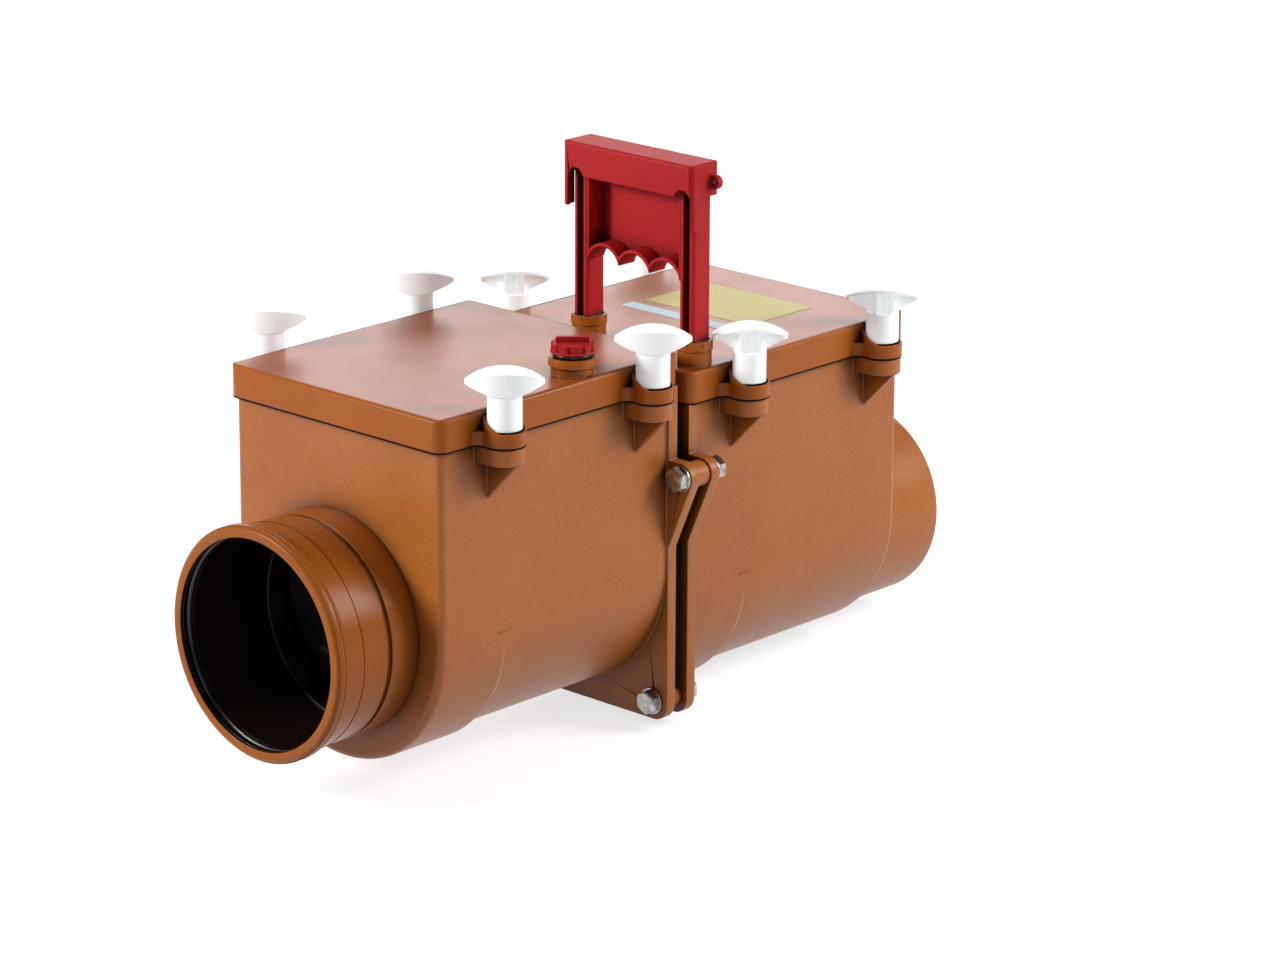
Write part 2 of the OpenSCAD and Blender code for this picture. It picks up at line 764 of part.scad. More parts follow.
// A moulded cover: plate, rounded upper edge, skirt, screw ears and ribs underneath.
module cover_shell() {
    x0 = chamber_x - skirt_out;
    x1 = chamber_end + skirt_out;
    hw = half_w + skirt_out;
    difference() {
        union() {
            intersection() {
                translate([0, 0, skirt_z]) linear_extrude(height = skirt_h)
                    plan(x0, x1, hw, corner_r + skirt_out);
                along_x(x0 - past, x1 + past) rounded_top(-hw, hw);
                across(-hw - past, hw + past) rounded_top(x0, x1);
            }
            for (x = screw_x, s = [0, 1]) translate([x, 0, 0]) mirror([0, s, 0]) screw_lobe(hw);
        }
        translate([0, 0, skirt_z - past]) linear_extrude(height = skirt_h - cover_t + past)
            plan(chamber_x - skirt_in, chamber_end + skirt_in, half_w + skirt_in, corner_r + skirt_in);
        for (x = screw_x, s = [-1, 1]) translate([x, s * screw_y, 0]) {
            translate([0, 0, lobe_z]) cylinder(r = sleeve_r + cup_fit, h = skirt_h);
            translate([0, 0, skirt_z - past]) cylinder(r = stud_d / 2 + cup_fit, h = skirt_h);
        }
    }
    cover_ribs();
}

// Cross-section of a cover with its upper edges rounded.
module rounded_top(a, b) {
    translate([a, skirt_z - past]) square([b - a, skirt_h + past - cover_edge_r]);
    translate([a + cover_edge_r, skirt_z]) square([b - a - 2 * cover_edge_r, skirt_h]);
    for (x = [a + cover_edge_r, b - cover_edge_r])
        translate([x, cover_z - cover_edge_r]) circle(cover_edge_r);
}

// An ear for a wing screw, blended into the skirt, with a sloping cup behind the sleeve.
module screw_lobe(hw) {
    lobe_r = lobe_d / 2;
    blend_y = hw + lobe_blend - screw_y;
    blend_x = sqrt(pow(lobe_r + lobe_blend, 2) - blend_y * blend_y);
    share = lobe_r / (lobe_r + lobe_blend);
    slope = atan2(cup_h, screw_y + lobe_r / 2 - hw);
    translate([0, screw_y, skirt_z]) {
        linear_extrude(height = lobe_h) {
            circle(lobe_r);
            difference() {
                polygon([
                    [-blend_x, hw - screw_y - skirt_t / 2],
                    [blend_x, hw - screw_y - skirt_t / 2],
                    [blend_x, hw - screw_y],
                    [share * blend_x, share * blend_y],
                    [-share * blend_x, share * blend_y],
                    [-blend_x, hw - screw_y]
                ]);
                for (s = [-1, 1]) translate([s * blend_x, blend_y]) circle(lobe_blend);
            }
        }
        difference() {
            intersection() {
                cylinder(r = lobe_r, h = lobe_h + cup_h);
                translate([-lobe_r, hw - screw_y - skirt_t / 2, 0]) cube([lobe_d, lobe_d, lobe_h + cup_h]);
            }
            translate([-lobe_d, lobe_r / 2, lobe_h]) rotate([-slope, 0, 0])
                translate([0, -2 * lobe_d, 0]) cube([2 * lobe_d, 4 * lobe_d, lobe_d]);
        }
    }
}

// Stiffening frame and cross ribs under a cover.
module cover_ribs() {
    x0 = chamber_x + cover_rib_inset;
    x1 = chamber_end - cover_rib_inset;
    hw = half_w - cover_rib_inset;
    mid = (x0 + x1 - cover_rib_t) / 2;
    translate([0, 0, cover_z - cover_t - cover_rib_h]) linear_extrude(height = cover_rib_h + cover_t / 2) {
        difference() {
            plan(x0, x1, hw, corner_r);
            plan(x0 + cover_rib_t, x1 - cover_rib_t, hw - cover_rib_t, corner_r - cover_rib_t);
        }
        translate([x0, -cover_rib_t / 2]) square([x1 - x0, cover_rib_t]);
        translate([mid, -hw]) square([cover_rib_t, 2 * hw]);
    }
}

// The gasket between a cover and its chamber's rim.
module cover_seal() {
    inset = wall + cover_seal_in;
    end_inset = flange_t - flange_step + cover_seal_in;
    color(rubber) translate([0, 0, wall_h]) linear_extrude(height = cover_seal_t) difference() {
        plan(chamber_x, chamber_end, half_w, corner_r);
        plan(chamber_x + end_inset, chamber_end - end_inset, half_w - inset, corner_r / 2);
    }
}

module inlet_cover() {
    color(pvc) difference() {
        union() {
            cover_shell();
            translate([plug_at[0], plug_at[1], cover_z - cover_t]) {
                cylinder(d = plug_neck_d, h = plug_seat_z - cover_z + cover_t);
                translate([0, 0, plug_rim_z - cover_z + cover_t]) cylinder(d = plug_rim_d, h = plug_rim_h);
            }
        }
        translate([plug_at[0], plug_at[1], 0])
            cylinder(r = plug_shank_d / 2 + plug_fit, h = plug_seat_z + past);
    }
}

module inlet_cover_gasket() cover_seal();

// Outline of a handle leg, grown all round.
module leg_outline(grow) {
    w = leg_w / 2 + grow;
    d = leg_d / 2 + grow;
    r = leg_r + grow;
    square([2 * d, 2 * (w - r)], center = true);
    square([2 * (d - r), 2 * w], center = true);
    for (x = [-1, 1], y = [-1, 1]) translate([x * (d - r), y * (w - r)]) circle(r);
}

// Places what repeats at the two handle legs.
module at_legs(z) {
    for (y = legs_y) translate([leg_at[0], y, z]) children();
}

module outlet_cover() {
    color(pvc) difference() {
        union() {
            second() cover_shell();
            at_legs(outlet_cover_z - cover_t) cylinder(d = gland_neck_d, h = cover_t + gland_neck_h);
        }
        at_legs(0) linear_extrude(height = gland_top) leg_outline(3 * leg_fit);
    }
}

module outlet_cover_gasket() second() cover_seal();

// Ring nuts that press the leg seals, with spanner notches round them.
module gland_nuts() {
    notch = 2;
    notch_turn = 45;
    notch_r = (gland_nut_d - notch / 2) / 2;
    seal_r = gland_nut_d / 2 - gland_seal_t;
    color(pvc) at_legs(gland_nut_z) difference() {
        cylinder(d = gland_nut_d, h = gland_nut_h);
        translate([0, 0, -past]) cylinder(r = seal_r, h = gland_seal_h + past);
        linear_extrude(height = gland_nut_h + past) leg_outline(leg_fit + gland_seal_t + ring_gap);
        for (a = [notch_turn / 2:notch_turn:360]) rotate(a)
            translate([notch_r, -notch / 2, gland_nut_h / 2]) cube([notch, notch, gland_nut_h]);
    }
}

// Rubber seals round the legs: a foot under the nut and a collar through it.
module gland_seals() {
    color(rubber) at_legs(gland_nut_z) difference() {
        union() {
            cylinder(r = gland_nut_d / 2 - gland_seal_t - ring_gap, h = gland_seal_h - ring_gap);
            linear_extrude(height = gland_nut_h + gland_seal_t / 2) leg_outline(leg_fit + gland_seal_t);
        }
        translate([0, 0, -past]) linear_extrude(height = gland_nut_h + 3 * past) leg_outline(leg_fit);
    }
}

// Places a flap shape on the leaning seat plane, with X square to the seat.
module on_seat() {
    translate([seat_x, 0, 0]) rotate([0, -seat_lean, 0]) children();
}

// Middles of the retaining screws.
function flap_screws() = [for (a = [45:90:315]) (seat_r - retainer_fit - 2 * clamp_w) * [cos(a), sin(a)]];

// A flap's moulded plate, with ribs and two hinge arms.
module flap_plate() {
    rib_end = flap_r - flap_rib_end;
    color(dark_plastic) on_seat() difference() {
        union() {
            rod(plate_x, flap_back, flap_r);
            difference() {
                rod(plate_x, rib_back, flap_rib_r);
                rod(flap_back, rib_back + past, flap_rib_r - flap_rib_t);
                translate([flap_back, -arm_end, 0]) cube([flap_rib_h + past, 2 * arm_end, flap_r]);
            }
            translate([plate_x, -flap_rib_t / 2, -rib_end])
                cube([rib_back - plate_x, flap_rib_t, rib_end + flap_rib_r / 2]);
            translate([plate_x, -rib_end, -flap_rib_t / 2])
                cube([rib_back - plate_x, 2 * rib_end, flap_rib_t]);
            translate([plate_x, lock_leg_y - leg_w / 2, flap_r - lock_pad_end - lock_pad_h])
                cube([rib_back - plate_x, leg_w, lock_pad_h]);
            for (s = [-1, 1]) flap_arm(s);
        }
        for (s = [-1, 1]) translate([hinge_set, 0, hinge_h]) rotate([90, 0, 0])
            cylinder(r = hinge_pin_d / 2 + hinge_fit, h = 2 * half_w, center = true);
        for (p = flap_screws()) translate([0, p[0], p[1]]) rotate([0, 90, 0])
            cylinder(d = flap_screw_d + 2 * ring_gap, h = flap_back + past);
    }
}

// One hinge arm, from the flap's back up to its knuckle.
module flap_arm(s) {
    foot_z = flap_r / 3;
    across(min(s * arm_y, s * arm_end), max(s * arm_y, s * arm_end)) {
        translate([hinge_set, hinge_h]) circle(knuckle_r);
        polygon([
            [plate_x, foot_z],
            [flap_back, foot_z],
            [hinge_set + knuckle_r, flap_r - hinge_rise],
            [hinge_set + knuckle_r, hinge_h],
            [hinge_set, hinge_h],
            [plate_x, flap_r]
        ]);
    }
}

// Rubber ring that meets the seat.
module flap_seal() {
    color(rubber) on_seat() translate([flap_gap, 0, 0]) rotate([0, 90, 0]) difference() {
        cylinder(r = flap_r - flap_lap / 2, h = flap_seal_t);
        translate([0, 0, -past]) cylinder(r = seat_r - retainer_fit - clamp_w, h = flap_seal_t + 2 * past);
    }
}

// Plate that clamps the seal's inner edge against the flap.
module flap_retainer() {
    hub_r = seat_r - retainer_fit - clamp_w - ring_gap;
    color(dark_plastic) on_seat() difference() {
        union() {
            rod(flap_gap - retainer_t, flap_gap, seat_r - retainer_fit);
            rod(flap_gap - past, plate_x, hub_r);
        }
        for (p = flap_screws()) translate([-retainer_t - past, p[0], p[1]]) rotate([0, 90, 0])
            cylinder(d = flap_screw_d + 2 * ring_gap, h = retainer_t + flap_back);
    }
}

// Screws that hold the retaining plate.
module flap_screw_set() {
    head_h = flap_screw_d / 2;
    head_x = flap_gap - retainer_t - head_h;
    color(zinc) on_seat() for (p = flap_screws()) translate([0, p[0], p[1]]) {
        rod(head_x, head_x + head_h, flap_screw_d);
        rod(head_x, flap_back, flap_screw_d / 2);
    }
}

module flap_1_plate() flap_plate();

module flap_1_seal() flap_seal();

module flap_1_retainer() flap_retainer();

module flap_1_screws() flap_screw_set();

module flap_2_plate() second() flap_plate();

module flap_2_seal() second() flap_seal();

module flap_2_retainer() second() flap_retainer();

module flap_2_screws() second() flap_screw_set();

// The red handle: two slotted legs, a grip with finger scallops and a skirted cap.
module emergency_handle() {
    x0 = leg_at[0] - cap_d / 2;
    color(red) difference() {
        union() {
            at_legs(leg_end) linear_extrude(height = handle_top - leg_end - cap_wall) leg_outline(0);
            handle_cap(x0);
            handle_grip();
            translate([leg_at[0] + cap_d / 4, cap_y0, handle_top - eyelet_z]) eyelet();
        }
        at_legs(leg_end - past) translate([-leg_d, -slot_w / 2, 0])
            cube([leg_d / 2 + slot_d, slot_w, handle_top - leg_end - cap_h + past]);
        foot_pin(foot_pin_d + 2 * ring_gap, 2 * leg_w);
    }
}

// A round pin through the locking leg and the foot's tongue.
module foot_pin(d, l) {
    translate([leg_at[0] - leg_d / 2 + slot_d / 2, lock_leg_y, leg_end + tongue_h / 2])
        rotate([90, 0, 0]) cylinder(d = d, h = l, center = true);
}

// Cap of the handle: a block with rounded edges, end skirts, a front skirt and corner posts.
module handle_cap(x0) {
    x1 = x0 + cap_d;
    post_z = handle_top - post_h;
    skirt_low = handle_top - cap_skirt;
    intersection() {
        difference() {
            translate([x0, cap_y0, post_z]) cube([cap_d, cap_y1 - cap_y0, post_h]);
            translate([x0 + cap_wall, cap_y0 + cap_wall, post_z - past])
                cube([cap_d, cap_y1 - cap_y0 - 2 * cap_wall, post_h + past - cap_h]);
            translate([x0 - past, cap_y0 + post_w, post_z - past])
                cube([cap_d + 2 * past, cap_y1 - cap_y0 - 2 * post_w, post_h + past - cap_skirt]);
            translate([x0 + post_w, cap_y0 - past, post_z - past])
                cube([cap_d, cap_y1 - cap_y0 + 2 * past, post_h + past - cap_skirt]);
            for (y = legs_y) translate([0, y, 0])
                along_x(x0 - past, x0 + cap_wall + past) slot_arch(skirt_low);
        }
        along_x(x0 - past, x1 + past) rounded_cap(cap_y0, cap_y1, post_z);
        across(cap_y0 - past, cap_y1 + past) rounded_cap(x0, x1, post_z);
        translate([0, 0, post_z - past]) linear_extrude(height = post_h + 2 * past)
            translate([leg_at[0], (cap_y0 + cap_y1) / 2]) rounded_rect(cap_d, cap_y1 - cap_y0, 2 * cap_r);
    }
}

// The arch that clears a leg's slot under the cap.
module slot_arch(low) {
    crown = handle_top - cap_h - arch_w / 2;
    translate([0, crown]) circle(d = arch_w);
    translate([-arch_w / 2, low - post_h]) square([arch_w, crown - low + post_h]);
}

// Cross-section of the cap with its upper edges rounded.
module rounded_cap(a, b, low) {
    translate([a, low - past]) square([b - a, handle_top - low + past - cap_r]);
    translate([a + cap_r, low]) square([b - a - 2 * cap_r, handle_top - low]);
    for (x = [a + cap_r, b - cap_r]) translate([x, handle_top - cap_r]) circle(cap_r);
}

// A rectangle about the origin with round corners.
module rounded_rect(a, b, r) {
    square([a, b - 2 * r], center = true);
    square([a - 2 * r, b], center = true);
    for (x = [-1, 1], y = [-1, 1]) translate([x * (a / 2 - r), y * (b / 2 - r)]) circle(r);
}

// Grip between the legs: a web at the back, and lips round a deep front with three finger scallops below.
module handle_grip() {
    y0 = legs_y[1] + leg_w / 2;
    y1 = legs_y[0] - leg_w / 2;
    x0 = leg_at[0] - grip_d / 2;
    x1 = x0 + grip_d;
    top = handle_top - cap_h;
    difference() {
        along_x(x0, x1) grip_outline(y0 - past, y1 + past, y0, y1, top + past, 0);
        along_x(x0 - past, x1 - web_t) grip_outline(y0 + past, y1 - past, y0, y1, top, grip_wall);
    }
}

// Outline of the grip from a to b, its scallops grown by a lip where it is hollowed.
module grip_outline(a, b, y0, y1, top, grow) {
    chord = (y1 - y0) / 3;
    r = (chord * chord / 4 + scallop_h * scallop_h) / (2 * scallop_h);
    difference() {
        translate([a, cusp_z]) square([b - a, top - cusp_z]);
        for (i = [0:2]) translate([y0 + chord * (i + 1 / 2), cusp_z + scallop_h - r]) circle(r + grow);
    }
}

// Small eyelet for a seal wire.
module eyelet() {
    rotate([0, 90, 0]) difference() {
        union() {
            translate([0, -eyelet_r / 2, 0]) cylinder(r = eyelet_r, h = eyelet_r, center = true);
            translate([-eyelet_r, -eyelet_r / 2, -eyelet_r / 2]) cube([2 * eyelet_r, eyelet_r, eyelet_r]);
        }
        translate([0, -eyelet_r / 2, 0]) cylinder(r = eyelet_r / 2.5, h = 2 * eyelet_r, center = true);
    }
}

// Wedge foot that stands behind the closed flap's pad when the handle is pushed down.
module lock_foot() {
    front = leg_at[0] - leg_d / 2;
    back = seat_2_x + (rib_back + foot_gap) / cos(seat_lean) - flap_r * sin(seat_lean) + foot_d;
    color(dark_plastic) difference() {
        union() {
            difference() {
                translate([front, lock_leg_y - leg_w / 2, leg_end - foot_h])
                    cube([back - front, leg_w, foot_h - ring_gap]);
                translate([seat_2_x, 0, handle_travel - chamber_drop]) rotate([0, -seat_lean, 0])
                    translate([rib_back + foot_gap - 2 * pipe_d, -pipe_d, flap_r - 2 * pipe_d])
                        cube([2 * pipe_d, 2 * pipe_d, 2 * pipe_d + flap_back * tan(seat_lean)]);
            }
            translate([front, lock_leg_y - leg_w / 2, leg_end - foot_top])
                cube([back - front, leg_w, foot_top - ring_gap]);
            translate([front + cap_wall, lock_leg_y - slot_w / 2 + tongue_fit, leg_end - foot_top])
                cube([slot_d - cap_wall - tongue_fit, slot_w - 2 * tongue_fit, tongue_h + foot_top]);
        }
        foot_pin(foot_pin_d + 2 * ring_gap, 2 * leg_w);
    }
}

module lock_foot_pin() {
    color(zinc) foot_pin(foot_pin_d, leg_w);
}

module plug_ring() {
    color(rubber) translate([plug_at[0], plug_at[1], plug_seat_z + ring_gap + ring_d / 2]) rotate_extrude()
        translate([plug_shank_d / 2 + ring_d / 2 + 2 * plug_fit, 0]) circle(d = ring_d);
}

// The red plug: fluted head, bar across its top and a shank in the boss.
module test_plug() {
    head_r = plug_head_d / 2;
    flute_r = head_r / 8;
    color(red) translate([plug_at[0], plug_at[1], plug_head_z]) {
        translate([0, 0, -ring_d - 2 * ring_gap - plug_shank_l])
            cylinder(d = plug_shank_d, h = plug_shank_l + ring_d + 2 * ring_gap + past);
        cylinder(r = head_r, h = plug_head_h / 4);
        difference() {
            cylinder(r = head_r - flute_r / 3, h = plug_head_h);
            for (i = [1:plug_flutes]) rotate(360 * i / plug_flutes) translate([head_r, 0, plug_head_h / 4])
                cylinder(r = flute_r, h = plug_head_h);
        }
        rotate(wing_turn) translate([-plug_bar_l / 2, -plug_bar / 2, 0])
            cube([plug_bar_l, plug_bar, plug_head_h + plug_bar]);
    }
}

// Radial profile of a wing screw's head and sleeve.
module wing_profile() {
    intersection() {
        polygon([
            [0, 0],
            [sleeve_r, 0],
            [sleeve_r, sleeve_h],
            [wing_r, wing_tip_z],
            [wing_r, wing_top],
            [0, wing_top]
        ]);
        translate([0, wing_top - dome_r]) circle(dome_r);
    }
}

// A white wing screw: round sleeve, domed wings smooth on one side and hollow on the other.
module wing_head() {
    lens_a = wing_r + wing_tip_t / 2;
    lens_b = wing_w / 2;
    lens_r = (lens_a * lens_a + lens_b * lens_b) / (2 * lens_b);
    difference() {
        intersection() {
            rotate_extrude() wing_profile();
            union() {
                cylinder(r = sleeve_r + past, h = sleeve_h);
                translate([0, 0, sleeve_h]) linear_extrude(height = wing_top) intersection_for(s = [-1, 1])
                    translate([0, s * (lens_r - lens_b)]) circle(lens_r);
            }
        }
        difference() {
            intersection() {
                rotate_extrude() translate([0, -wing_shell]) intersection() {
                    wing_profile();
                    translate([0, sleeve_h]) square([wing_r - wing_shell, wing_top]);
                }
                translate([-wing_r, -wing_r - wing_shell, 0]) cube([2 * wing_r, wing_r, 2 * wing_top]);
            }
            for (s = [-1, 1]) translate([s * wing_rib_x - wing_shell / 2, -wing_w, 0])
                cube([wing_shell, wing_w, wing_top]);
            cylinder(r = sleeve_r / 3, h = wing_top);
        }
        translate([0, 0, -past]) cylinder(d = stud_d + 2 * ring_gap, h = stud_in + past);
    }
}

// Places wing screw k: four on each cover, the second cover's turned half round.
module at_screw(k) {
    i = k - 1;
    cover = floor(i / 4);
    side = i % 2 == 0 ? -1 : 1;
    along = floor((i % 4) / 2);
    translate([screw_x[along] + cover * pitch, side * screw_y, sleeve_z - cover * chamber_drop])
        rotate(wing_turn + 180 * (1 - cover)) children();
}

module wing_knob(k) {
    color(white) at_screw(k) wing_head();
}

module wing_stud(k) {
    color(zinc) at_screw(k) translate([0, 0, boss_z - sleeve_z])
        cylinder(d = stud_d, h = stud_in + sleeve_z - boss_z);
}

inlet_body();
inlet_socket();
outlet_body();
outlet_spigot();
joint_gasket();
inlet_seal_ring();
flange_bolts();
flange_washers();
flange_nuts();
thread_inserts();
flap_1_pins();
flap_2_pins();
inlet_cover();
inlet_cover_gasket();
outlet_cover();
outlet_cover_gasket();
gland_nuts();
gland_seals();
flap_1_plate();
flap_1_seal();
flap_1_retainer();
flap_1_screws();
flap_2_plate();
flap_2_seal();
flap_2_retainer();
flap_2_screws();
emergency_handle();
lock_foot();
lock_foot_pin();
plug_ring();
test_plug();
for (k = [1:8]) {
    wing_knob(k);
    wing_stud(k);
}
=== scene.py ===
import json
import math

import bmesh
import bpy
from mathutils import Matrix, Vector


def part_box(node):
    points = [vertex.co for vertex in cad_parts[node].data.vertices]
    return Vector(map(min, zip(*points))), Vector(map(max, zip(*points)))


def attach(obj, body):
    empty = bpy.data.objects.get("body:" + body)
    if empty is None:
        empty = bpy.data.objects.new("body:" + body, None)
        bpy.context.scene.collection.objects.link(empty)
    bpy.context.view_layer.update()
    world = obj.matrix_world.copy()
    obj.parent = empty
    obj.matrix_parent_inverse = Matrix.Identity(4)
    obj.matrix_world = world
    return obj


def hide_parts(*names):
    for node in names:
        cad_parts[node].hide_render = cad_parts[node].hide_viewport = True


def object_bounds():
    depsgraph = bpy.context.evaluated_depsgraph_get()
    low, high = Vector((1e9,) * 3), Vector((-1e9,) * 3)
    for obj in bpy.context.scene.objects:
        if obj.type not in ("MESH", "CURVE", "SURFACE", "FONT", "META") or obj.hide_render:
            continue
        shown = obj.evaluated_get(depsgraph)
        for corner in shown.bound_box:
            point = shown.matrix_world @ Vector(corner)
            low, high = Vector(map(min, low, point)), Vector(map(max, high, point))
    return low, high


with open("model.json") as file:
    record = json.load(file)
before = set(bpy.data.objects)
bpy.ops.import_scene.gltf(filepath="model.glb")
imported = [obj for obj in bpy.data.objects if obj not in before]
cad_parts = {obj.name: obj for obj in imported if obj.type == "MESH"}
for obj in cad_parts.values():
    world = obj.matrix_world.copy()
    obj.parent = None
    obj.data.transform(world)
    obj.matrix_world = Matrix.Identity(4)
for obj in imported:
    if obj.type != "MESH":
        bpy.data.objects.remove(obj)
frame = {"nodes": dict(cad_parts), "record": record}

cad_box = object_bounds()
MM = 0.001
BODIES = frame["record"]["behaviour"]["bodies"]
BODY_OF = {node: body for body, nodes in BODIES.items() for node in nodes}


# Node trees written as expressions

NOISE_ROUGH = 0.55
# Painted shade in corners and gaps: samples of the ambient occlusion node, and the ramp that turns its
# result into a darkening of the colour
PAINTED_SHADE_SAMPLES = 4
PAINTED_SHADE_STOPS = ((0.25, 0.03), (0.85, 1.0))


class Socket:
    """An output of a node tree. Arithmetic on it adds Math nodes."""

    def __init__(self, tree, socket):
        self.tree = tree
        self.socket = socket

    def math(self, operation, first, second=0.0):
        return self.tree.node("ShaderNodeMath", {"operation": operation}, {0: first, 1: second})

    def __add__(self, other):
        return self.math("ADD", self, other)

    def __radd__(self, other):
        return self.math("ADD", other, self)

    def __sub__(self, other):
        return self.math("SUBTRACT", self, other)

    def __rsub__(self, other):
        return self.math("SUBTRACT", other, self)

    def __mul__(self, other):
        return self.math("MULTIPLY", self, other)

    def __rmul__(self, other):
        return self.math("MULTIPLY", other, self)

    def __truediv__(self, other):
        return self.math("DIVIDE", self, other)

    def __rtruediv__(self, other):
        return self.math("DIVIDE", other, self)

    def __gt__(self, other):
        return self.math("GREATER_THAN", self, other)

    def __lt__(self, other):
        return self.math("LESS_THAN", self, other)


class Tree:
    """A shader or geometry tree, with one method that adds any node."""

    def __init__(self, tree):
        self.tree = tree

    def node(self, kind, settings=None, sockets=None, out=0):
        made = self.tree.nodes.new(kind)
        for name, value in (settings or {}).items():
            if name == "stops":
                self.set_stops(made.color_ramp, value)
            else:
                setattr(made, name, value)
        for key, value in (sockets or {}).items():
            self.feed(made.inputs[key], value)
        return Socket(self, made.outputs[out]) if len(made.outputs) else made

    def feed(self, target, value):
        if isinstance(value, Socket):
            self.tree.links.new(value.socket, target)
        elif isinstance(value, list):
            for one in value:
                self.tree.links.new(one.socket, target)
        else:
            target.default_value = value

    def others(self, source, *names):
        """More outputs of the node that an output came from."""
        return [Socket(self, source.socket.node.outputs[name]) for name in names]

    @staticmethod
    def set_stops(ramp, stops):
        while len(ramp.elements) < len(stops):
            ramp.elements.new(1.0)
        for element, (place, level) in zip(ramp.elements, stops):
            element.position = place
            element.color = (level, level, level, 1.0)


class Finish(Tree):
    """A material whose nodes read the piece's own Object coordinates."""

    def __init__(self, name):
        self.material = bpy.data.materials.new(name)
        self.material.use_nodes = True
        super().__init__(self.material.node_tree)
        self.tree.nodes.clear()
        self.at = self.node("ShaderNodeTexCoord", out="Object")

    def axes(self):
        x = self.node("ShaderNodeSeparateXYZ", None, {0: self.at}, "X")
        return [x] + self.others(x, "Y", "Z")

    def noise(self, scale, detail=2.0, stretch=(1.0, 1.0, 1.0)):
        place = self.node("ShaderNodeMapping", None, {"Vector": self.at, "Scale": stretch})
        return self.node(
            "ShaderNodeTexNoise",
            None,
            {"Vector": place, "Scale": scale, "Detail": detail, "Roughness": NOISE_ROUGH},
        )

    def ramp(self, value, *stops):
        return self.node("ShaderNodeValToRGB", {"stops": stops}, {0: value})

    def mix(self, share, first, second, blend="MIX"):
        settings = {"data_type": "RGBA", "blend_type": blend, "clamp_factor": True}
        return self.node("ShaderNodeMix", settings, {0: share, 6: first, 7: second}, out=2)

    def painted_crevice_shade(self, reach):
        """Painted shade: 1 on open faces, falling nearly to 0 where other faces stand close by, as shade
        falls in corners and gaps.
        """
        settings = {"samples": PAINTED_SHADE_SAMPLES}
        free = self.node("ShaderNodeAmbientOcclusion", settings, {"Distance": reach}, "AO")
        return self.ramp(free, *PAINTED_SHADE_STOPS)

    def bump(self, height, depth):
        return self.node("ShaderNodeBump", None, {"Strength": 1.0, "Distance": depth, "Height": height})

    def surface(self, **sockets):
        names = {key.replace("_", " "): value for key, value in sockets.items()}
        shader = self.node("ShaderNodeBsdfPrincipled", None, names)
        self.node("ShaderNodeOutputMaterial", None, {"Surface": shader})
        return self.material


class Builder(Tree):
    """A Geometry Nodes tree with named sizes, run once to make a plain mesh."""

    def __init__(self, name, sizes):
        self.name = name
        self.sizes = sizes
        group = bpy.data.node_groups.new(name, "GeometryNodeTree")
        super().__init__(group)
        face = group.interface
        face.new_socket("Places", in_out="INPUT", socket_type="NodeSocketGeometry")
        face.new_socket("Geometry", in_out="OUTPUT", socket_type="NodeSocketGeometry")
        self.keys = {}
        for key, value in sizes.items():
            kind = "NodeSocketInt" if isinstance(value, int) else "NodeSocketFloat"
            self.keys[key] = face.new_socket(key, in_out="INPUT", socket_type=kind).identifier
        self.inlet = group.nodes.new("NodeGroupInput")

    def size(self, key):
        return Socket(self, self.inlet.outputs[key])

    def shift(self, geometry, along):
        lift = self.node("ShaderNodeCombineXYZ", None, {"Z": along})
        return self.node("GeometryNodeTransform", None, {"Geometry": geometry, "Translation": lift})

    def joined(self, *parts):
        return self.node("GeometryNodeJoinGeometry", None, {0: list(parts)})

    def at_places(self, geometry, turn):
        return self.node(
            "GeometryNodeInstanceOnPoints",
            None,
            {"Points": self.size("Places"), "Instance": geometry, "Rotation": turn},
        )

    def mesh(self, geometry, places, material):
        real = self.node("GeometryNodeRealizeInstances", None, {0: geometry})
        dressed = self.node("GeometryNodeSetMaterial", None, {"Geometry": real, "Material": material})
        self.node("NodeGroupOutput", None, {0: dressed})
        points = bpy.data.meshes.new(self.name + "_places")
        points.from_pydata(places, [], [])
        host = bpy.data.objects.new(self.name + "_host", points)
        bpy.context.scene.collection.objects.link(host)
        build = host.modifiers.new("build", "NODES")
        build.node_group = self.tree
        for key, identifier in self.keys.items():
            build[identifier] = self.sizes[key]
        graph = bpy.context.evaluated_depsgraph_get()
        made = bpy.data.meshes.new_from_object(host.evaluated_get(graph), depsgraph=graph)
        host.modifiers.remove(build)
        bpy.data.objects.remove(host)
        return made


def shade(red, green, blue):
    """A screen colour, 0 to 255, as a linear colour."""
    return tuple(((c / 255 + 0.055) / 1.055) ** 2.4 for c in (red, green, blue)) + (1.0,)


# Finishes

MEAN = 0.5
BLEND_STOPS = ((0.3, 0.0), (0.7, 1.0))

# Moulded plastic: clouding, marks of the flow into the mould, grain and its speckle
CLOUD = {"scale": 9.0, "detail": 3.0}
FLOW = {"scale": 26.0, "detail": 2.0, "stretch": (1.0, 1.0, 0.35)}
FLOW_ROUGH = 0.12
FLOW_BUMP = 0.3
GRAIN_DETAIL = 3.0
GRAIN_ROUGH = 0.1
SPECKLE_LOW = 0.36
SPECKLE_HIGH = 0.64
UPWARD_STOPS = ((0.85, 0.0), (0.97, 1.0))

# The dark interior of the inlet, from just behind the mouth's face, is painted shade: its wall is darkened
# as if in deep shade
BORE_R = 80.9 * MM
BORE_START = 0.5 * MM
BORE_END = 130.0 * MM
BORE_PAINTED_SHADE = shade(26, 15, 10)

# Metal: blotches of the plating and lines of the tool
BLOTCH = {"scale": 140.0, "detail": 3.0}
BLOTCH_ROUGH = 0.2
TOOL_LINES = {"scale": 500.0, "detail": 2.0, "stretch": (6.0, 1.0, 1.0)}
LINE_ROUGH = 0.15
LINE_DEPTH = 0.02 * MM

